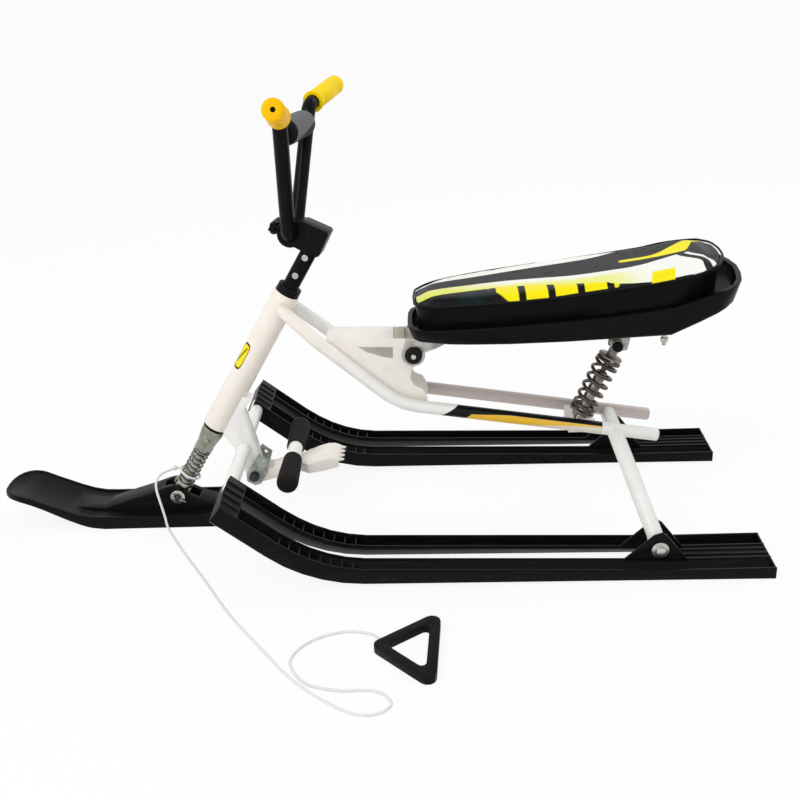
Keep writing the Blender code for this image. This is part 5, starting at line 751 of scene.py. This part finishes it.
def puffed(name, bm, voxel, most, share=lambda place: 1.0):
    """A closed form, remeshed and swollen outward by air pressure up to a limit and a share of it."""
    bmesh.ops.recalc_face_normals(bm, faces=bm.faces)
    mesh = bpy.data.meshes.new(name + "_form")
    bm.to_mesh(mesh)
    bm.free()
    form = bpy.data.objects.new(name + "_form", mesh)
    bpy.context.scene.collection.objects.link(form)
    remesh = form.modifiers.new("even", "REMESH")
    remesh.mode, remesh.voxel_size = "VOXEL", voxel
    even = bpy.data.meshes.new_from_object(form.evaluated_get(bpy.context.evaluated_depsgraph_get()))
    form.modifiers.clear()
    form.data = even
    rest = [vert.co.copy() for vert in even.vertices]
    swollen = rest
    cloth = form.modifiers.new("air", "CLOTH")
    cloth.settings.use_pressure = True
    cloth.settings.uniform_pressure_force = AIR_PRESSURE
    cloth.settings.effector_weights.gravity = 0.0
    cloth.point_cache.frame_start, cloth.point_cache.frame_end = 1, AIR_FRAMES
    for frame_number in range(1, AIR_FRAMES + 1):
        bpy.context.scene.frame_set(frame_number)
    blown = form.evaluated_get(bpy.context.evaluated_depsgraph_get())
    swollen = [vert.co.copy() for vert in blown.data.vertices]
    bpy.context.scene.frame_set(1)
    form.modifiers.clear()
    result = bmesh.new()
    result.from_mesh(even)
    result.normal_update()
    outs = [vert.normal.copy() for vert in result.verts]
    lifts = [share(before) * min(most, max(0.0, (after - before).dot(out)))
             for before, after, out in zip(rest, swollen, outs)]
    for vert, lift, out in zip(result.verts, lifts, outs):
        vert.co += out * lift
    bmesh.ops.smooth_vert(result, verts=result.verts, factor=EVENING,
                          use_axis_x=True, use_axis_y=True, use_axis_z=True)
    bpy.data.objects.remove(form)
    print("%s: %d points, swelled by %.1f mm" % (name, len(result.verts), max(lifts) * 1000))
    return result


def subdivided(piece):
    """Subdivide a padded piece once, in the view and in the render."""
    smooth = piece.modifiers.new("smooth", "SUBSURF")
    smooth.levels = smooth.render_levels = 1


# %% The seat's outline and deck
SEAT_OUTLINE = (
    (0.0827, 0.0000), (0.0837, 0.0200), (0.0848, 0.0340), (0.0900, 0.0425), (0.0990, 0.0535),
    (0.1090, 0.0608), (0.1225, 0.0675), (0.1600, 0.0768), (0.2200, 0.0865), (0.3100, 0.0932),
    (0.4300, 0.0935), (0.4600, 0.0950), (0.4810, 0.0950), (0.5045, 0.0868), (0.5250, 0.0735),
    (0.5328, 0.0600), (0.5412, 0.0380), (0.5445, 0.0000))
DECK = (0.3517, 0.1975, -0.4372, 0.6063)


def deck(x):
    """Height of the seat's edge at an x, which is a number or a flow."""
    return x * (x * (x * DECK[3] + DECK[2]) + DECK[1]) + DECK[0]


# %% Printed vinyl
def seat_vinyl():
    """Black vinyl with a print of plain stripes on the top: white, charcoal, lime and yellow."""
    vinyl = Finish("printed_seat_vinyl", (0.005, 0.005, 0.0055), 0.34, specular=0.06)
    x, y, z = vinyl.axes()
    edge = vinyl.noise(160, 4) * 0.0016 - 0.0008
    y_worn = y + edge
    top = (z - deck(x)).step(0.0006, 0.0012)
    white, pale, charcoal = (0.90, 0.90, 0.88), (0.82, 0.84, 0.22), (0.010, 0.0095, 0.0125)
    yellow, black, teal = (0.92, 0.80, 0.004), (0.004, 0.004, 0.005), (0.004, 0.012, 0.014)
    speckle = vinyl.noise(420, 6).step(0.52, 0.60)
    upper = x.step(0.10, 0.35) * 0.022 + x.step(0.34, 0.49) * 0.045 + 0.030
    middle = x.step(0.40, 0.49) * 0.020 - x.step(0.20, 0.36) * 0.018 - 0.004
    lower = 0 - x.step(0.19, 0.45) * 0.054 - 0.033
    paling = (y_worn - middle).step(-0.006, -0.030) * (1 - x.step(0.36, 0.44))
    lime = vinyl.mix(paling + speckle * 0.12, white, pale)
    lime = vinyl.mix(x.step(0.24, 0.12) * 0.75, lime, (0.76, 0.78, 0.03))
    flecked = vinyl.mix(speckle * 0.25, white, (0.80, 0.80, 0.30))
    colour = vinyl.mix((y_worn - upper).step(0.0006, -0.0006), flecked, charcoal)
    colour = vinyl.mix((y_worn - middle).step(0.0006, -0.0006), colour, lime)
    # Below the lime band: a dark front, a run of broken blocks, a plain gap and one yellow end block.
    blocks = (x * 148).wave().step(-0.80, -0.62) * (y + 0.087).step(-0.0008, 0.0008)
    low_part = vinyl.mix(blocks, black, yellow)
    dark_front = vinyl.mix(vinyl.noise(30, 2).step(0.4, 0.6), black, teal)
    low_part = vinyl.mix((x + y * 0.6).step(0.176, 0.172), low_part, dark_front)
    low_part = vinyl.mix((x - y * 0.4).step(0.414, 0.418), low_part, black)
    colour = vinyl.mix((y_worn - lower).step(0.0006, -0.0006), colour, low_part)
    patch = (x - y * 0.2).band(0.4465, 0.4800, 0.0006) * y.band(-0.0900, -0.0590, 0.0006)
    colour = vinyl.mix(patch, colour, yellow)
    # The rear: a yellow wedge that opens towards the far corner, then charcoal behind a white sliver.
    wedge_top = x.step(0.44, 0.515) * 0.042 + 0.019
    wedge_low = x.step(0.494, 0.522) * 0.047 + 0.0075
    inside = (y - wedge_low).step(-0.0005, 0.0005) * (y - wedge_top).step(0.0005, -0.0005)
    wedge = inside * x.step(0.395, 0.402)
    corner = y.step(0.005, -0.062) * 0.028 + 0.496
    behind = (x - corner).step(0.0015, 0.0022) * (y - wedge_low).step(0.0, -0.0006)
    black_arc = (x - corner).band(-0.0160, -0.0050, 0.0005) * y.step(0.006, 0.0)
    colour = vinyl.mix(behind, colour, (0.018, 0.017, 0.020))
    colour = vinyl.mix(black_arc, colour, black)
    colour = vinyl.mix(wedge, colour, yellow)
    grain = vinyl.cells(620)
    scuff = vinyl.noise(40, 8).step(0.60, 0.70)
    vinyl.paint(**{"Base Color": vinyl.mix(top, black, colour),
                   "Roughness": 0.36 + scuff * 0.14 - top * 0.05})
    return vinyl.relief(grain + scuff * 0.3, 0.00018, 0.4)


# %% Seat cushion
INSET = 0.0006                 # room for the swelling inside the solid
CUSHION_VOXEL, CUSHION_SWELL = 0.0045, 0.0040
bm = from_solid("seat_cushion")
bm.normal_update()
for vert in bm.verts:
    vert.co -= vert.normal * INSET
seat = puffed("seat_cushion", bm, CUSHION_VOXEL, CUSHION_SWELL,
              lambda p: max(0.25, min(1.0, (p.z - 0.318) / 0.030)))
cushion = finished("padded_seat", seat, seat_vinyl(), "seat", "seat_cushion", sharp=180)
subdivided(cushion)

# %% Piping round the seat's edge
PIPING_RADIUS, PIPING_SIDES = 0.0017, 10
half_edge = [Vector((x, y + 0.0006, deck(x) + 0.0004)) for x, y in SEAT_OUTLINE]
edge_loop, edge_length = smooth_line(half_edge + mirrored(half_edge[1:-1])[::-1] + half_edge[:1], 260)
piping_vinyl = moulded("piping_vinyl", (0.0045, 0.0045, 0.005), 0.34, 1500)
finished("seat_piping", rope(edge_loop[:-1], PIPING_RADIUS, PIPING_SIDES, loop=True), piping_vinyl, "seat",
         sharp=80)
print("piping: %.2f m" % edge_length)

# %% Bar pad
PAD_HALF, PAD_END, PAD_NEAR_END, PAD_RADIUS = 0.0660, 0.0165, 0.0196, 0.0200
PAD_VOXEL, PAD_SWELL = 0.0035, 0.0024
pad_middle = ASKEW @ Vector((brace_right.x, 0.0, brace_right.z))
pad_way = (ASKEW.to_3x3() @ Vector((0.0, 1.0, 0.0))).normalized()
pad_shape = ((0.0, -PAD_HALF), (PAD_END, -PAD_HALF), (PAD_NEAR_END, -PAD_HALF + 0.004), (PAD_RADIUS, -0.040),
             (PAD_RADIUS, 0.040), (PAD_NEAR_END, PAD_HALF - 0.004), (PAD_END, PAD_HALF), (0.0, PAD_HALF))
pad = puffed("bar_pad", turned(pad_shape, pad_middle, pad_way, 32), PAD_VOXEL, PAD_SWELL)
pad_cover = Finish("grey_pad_cover", (0.14, 0.14, 0.145), 0.72, specular=0.15)
lengthwise = abs(pad_cover.along(pad_way, pad_middle))
under = pad_cover.along((0.55, 0.0, -0.84), pad_middle)
weave = pad_cover.noise(900, 3)
shade = pad_cover.noise(35, 3)
grey = pad_cover.mix(weave * 0.5 + shade * 0.4, (0.105, 0.103, 0.105), (0.185, 0.182, 0.186))
dark = lengthwise.step(PAD_HALF - 0.005, PAD_HALF - 0.0035) + under.step(0.0135, 0.0150)
pad_cover.paint(**{"Base Color": pad_cover.mix(dark, grey, (0.008, 0.008, 0.009)),
                   "Roughness": 0.60 + weave * 0.25})
pad_cover.relief(weave, 0.00025, 0.5)
bar_pad = finished("grey_bar_pad", pad, pad_cover, "steering", "crossbar_pad", sharp=180)
subdivided(bar_pad)

# %% [markdown]
# ## Springs
# A spring is a wire that turns and climbs at once, which is just what the spin operator does when it is
# given a rise for every step. Its end turns lie close together, so that they sit flat on their plates.

# %% Front and rear springs
FRONT_LOW, FRONT_HIGH = 0.0228, 0.0886   # along the steering axis
front_coil = finished("front_coil", coil(steer_point(FRONT_LOW), steer_point(FRONT_HIGH), 0.0123, 0.0040, 8),
                      spring_steel, "steering", "front_spring", sharp=80)
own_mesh(front_coil)
shock_low, shock_top = Vector((0.3425, 0.0, 0.1600)), Vector((0.3975, 0.0, 0.2786))
shock_way = (shock_top - shock_low).normalized()
coil_low, coil_high = shock_low + shock_way * 0.0113, shock_top - shock_way * 0.0233
shock_coil = finished("shock_coil", coil(coil_low, coil_high, 0.0178, 0.0057, 7), shock_steel,
                      "shock_lower", "shock_spring", sharp=80)
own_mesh(shock_coil)
print("springs: %.0f and %.0f mm long"
      % ((FRONT_HIGH - FRONT_LOW) * 1000, (coil_high - coil_low).length * 1000))

# %% [markdown]
# ## Pieces taken straight from the solids
# Sheet-metal brackets, bolts and mouldings already have the right shape, but a solid's edges are
# knife-sharp and catch no light. Each one is copied, its triangles are joined back into flat faces,
# and its edges get a small round, so that every edge shows the thin highlight of a real part.

# %% Table of dressed pieces
DRESSED = (
    # name, node, body, finish, edge round
    ("left_side_ski", "side_ski_left", "frame", ski_plastic, 0.0007),
    ("right_side_ski", "side_ski_right", "frame", ski_plastic, 0.0007),
    ("steered_front_ski", "front_ski", "front_ski", front_plastic, 0.0010),
    ("seat_tray_shell", "seat_tray", "seat", tray_plastic, 0.0008),
    ("strut_channel", "front_strut", "frame", white_coat, 0.0005),
    ("pivot_bracket", "seat_bracket", "frame", plate_coat, 0.0006),
    ("bracket_block", "bracket_stop_block", "frame", block_plastic, 0.0010),
    ("shock_plate", "shock_cross_plate", "frame", white_coat, 0.0005),
    ("left_tube_plug", "tube_plug_left", "frame", plug_plastic, 0.0004),
    ("right_tube_plug", "tube_plug_right", "frame", plug_plastic, 0.0004),
    ("left_ski_bolt", "ski_bolt_left", "frame", zinc, 0.0004),
    ("right_ski_bolt", "ski_bolt_right", "frame", zinc, 0.0004),
    ("lower_shock_bolt", "shock_bolt_lower", "frame", zinc, 0.0003),
    ("head_upper_bush", "upper_bush", "frame", small_plastic, 0.0008),
    ("head_lower_bush", "lower_bush", "frame", small_plastic, 0.0006),
    ("brake_bolt", "brake_pivot_bolt", "frame", dark_bolt, 0.0005),
    ("seat_bolt", "seat_pivot_bolt", "frame", zinc, 0.0004),
    ("left_seat_bush", "seat_bush_left", "frame", peg_rubber, 0.0010),
    ("right_seat_bush", "seat_bush_right", "frame", peg_rubber, 0.0010),
    ("black_column", "steering_column", "steering", black_enamel, 0.0004),
    ("low_column_bolt", "column_bolt_lower", "steering", zinc, 0.0004),
    ("high_column_bolt", "column_bolt_upper", "steering", zinc, 0.0004),
    ("stamped_crown", "fork_crown", "steering", crown_zinc, 0.0005),
    ("crown_rivet_head", "crown_rivet", "steering", crown_zinc, 0.0004),
    ("bar_stem", "stem", "steering", stem_enamel, 0.0012),
    ("left_clamp_bolt", "clamp_bolt_left", "steering", dark_bolt, 0.0003),
    ("right_clamp_bolt", "clamp_bolt_right", "steering", dark_bolt, 0.0003),
    ("sliding_fork", "fork_slider", "fork", zinc, 0.0005),
    ("ski_pivot_bolt", "front_ski_bolt", "fork", bolt_steel, 0.0004),
    ("ski_pivot_washer", "front_ski_washer", "fork", zinc, 0.0004),
    ("split_pin", "front_split_pin", "fork", zinc, 0.0),
    ("small_leaf", "fork_leaf", "fork", yellow_zinc, 0.0003),
    ("brake_plate", "brake_claw", "brake", plate_coat, 0.0006),
    ("brake_foot_tube", "foot_tube", "brake", white_coat, 0.0005),
    ("left_brake_side", "brake_side_plate_left", "brake", dull_plate, 0.0004),
    ("right_brake_side", "brake_side_plate_right", "brake", dull_plate, 0.0004),
    ("seat_rail_plate", "seat_rail", "seat", rail_grey, 0.0005),
    ("tray_nut", "tray_bolt", "seat", zinc, 0.0003),
    ("upper_shock_bolt", "shock_bolt_upper", "seat", small_plastic, 0.0004),
    ("shock_cylinder", "shock_body", "shock_lower", shock_grey, 0.0005),
    ("shock_piston_rod", "shock_rod", "shock_upper", shock_grey, 0.0004),
    ("shock_eye_bush", "shock_top_bush", "shock_upper", peg_rubber, 0.0004),
)
for name, node, body, finish, edge in DRESSED:
    finished(name, from_solid(node, edge), finish, body, node, outward=False)
print("dressed %d nodes" % len(DRESSED))

# %% [markdown]
# ## Floor and light
# A product picture wants an even, pale surround. The floor is a large matt plane, the world is a soft
# grey dome that shows as white to the camera and in reflections, and one broad lamp from the upper
# left gives the shapes their shading. No lamp is strong, so colours come out about as they are written.

# %% Floor
FLOOR_SHARE = 0.89   # how much of the plain white the camera sees on the floor, the rest being shadow
bm = bmesh.new()
bmesh.ops.create_grid(bm, x_segments=1, y_segments=1, size=60.0, matrix=Matrix.Translation((0, 0, -0.0003)))
floor_paint = Finish("studio_floor", (0.90, 0.90, 0.90), 0.9, specular=0.1)
floor_paint.surrounded(Flow(floor_paint, floor_paint.shader.outputs[0]),
                       floor_paint.node("ShaderNodeEmission", {}, {}), FLOOR_SHARE,
                       floor_paint.tree.nodes["Material Output"].inputs["Surface"])
floor = finished("studio_floor", bm, floor_paint, None, outward=False)

# %% World
WHITE, DOME_STRENGTH = (1.0, 1.0, 1.0, 1.0), 0.72
world = bpy.data.worlds.new("studio_dome")
bpy.context.scene.world = world
world.use_nodes = True
sky = Wiring(world.node_tree)
dome = sky.tree.nodes["Background"]
sky.plug(dome.inputs["Color"], WHITE)
sky.plug(dome.inputs["Strength"], DOME_STRENGTH)
plain = sky.node("ShaderNodeBackground", {}, {"Color": WHITE, "Strength": 1.0})
sky.surrounded(Flow(sky, dome.outputs[0]), plain, 1.0, sky.tree.nodes["World Output"].inputs["Surface"])


# %% Lamps
def softbox(name, place, target, size, watts):
    """A square lamp aimed at a point."""
    light = bpy.data.lights.new(name, "AREA")
    light.size, light.energy = size, watts
    lamp = bpy.data.objects.new(name, light)
    lamp.matrix_world = Matrix.Translation(place) @ turned_to(Vector(place) - Vector(target))
    bpy.context.scene.collection.objects.link(lamp)


softbox("key_softbox", (-1.4, -1.8, 2.4), (0.0, 0.0, 0.2), 1.6, 34)
softbox("rear_softbox", (1.6, 1.2, 2.2), (0.0, 0.0, 0.2), 1.4, 14)
bpy.context.scene.view_settings.view_transform = "Standard"
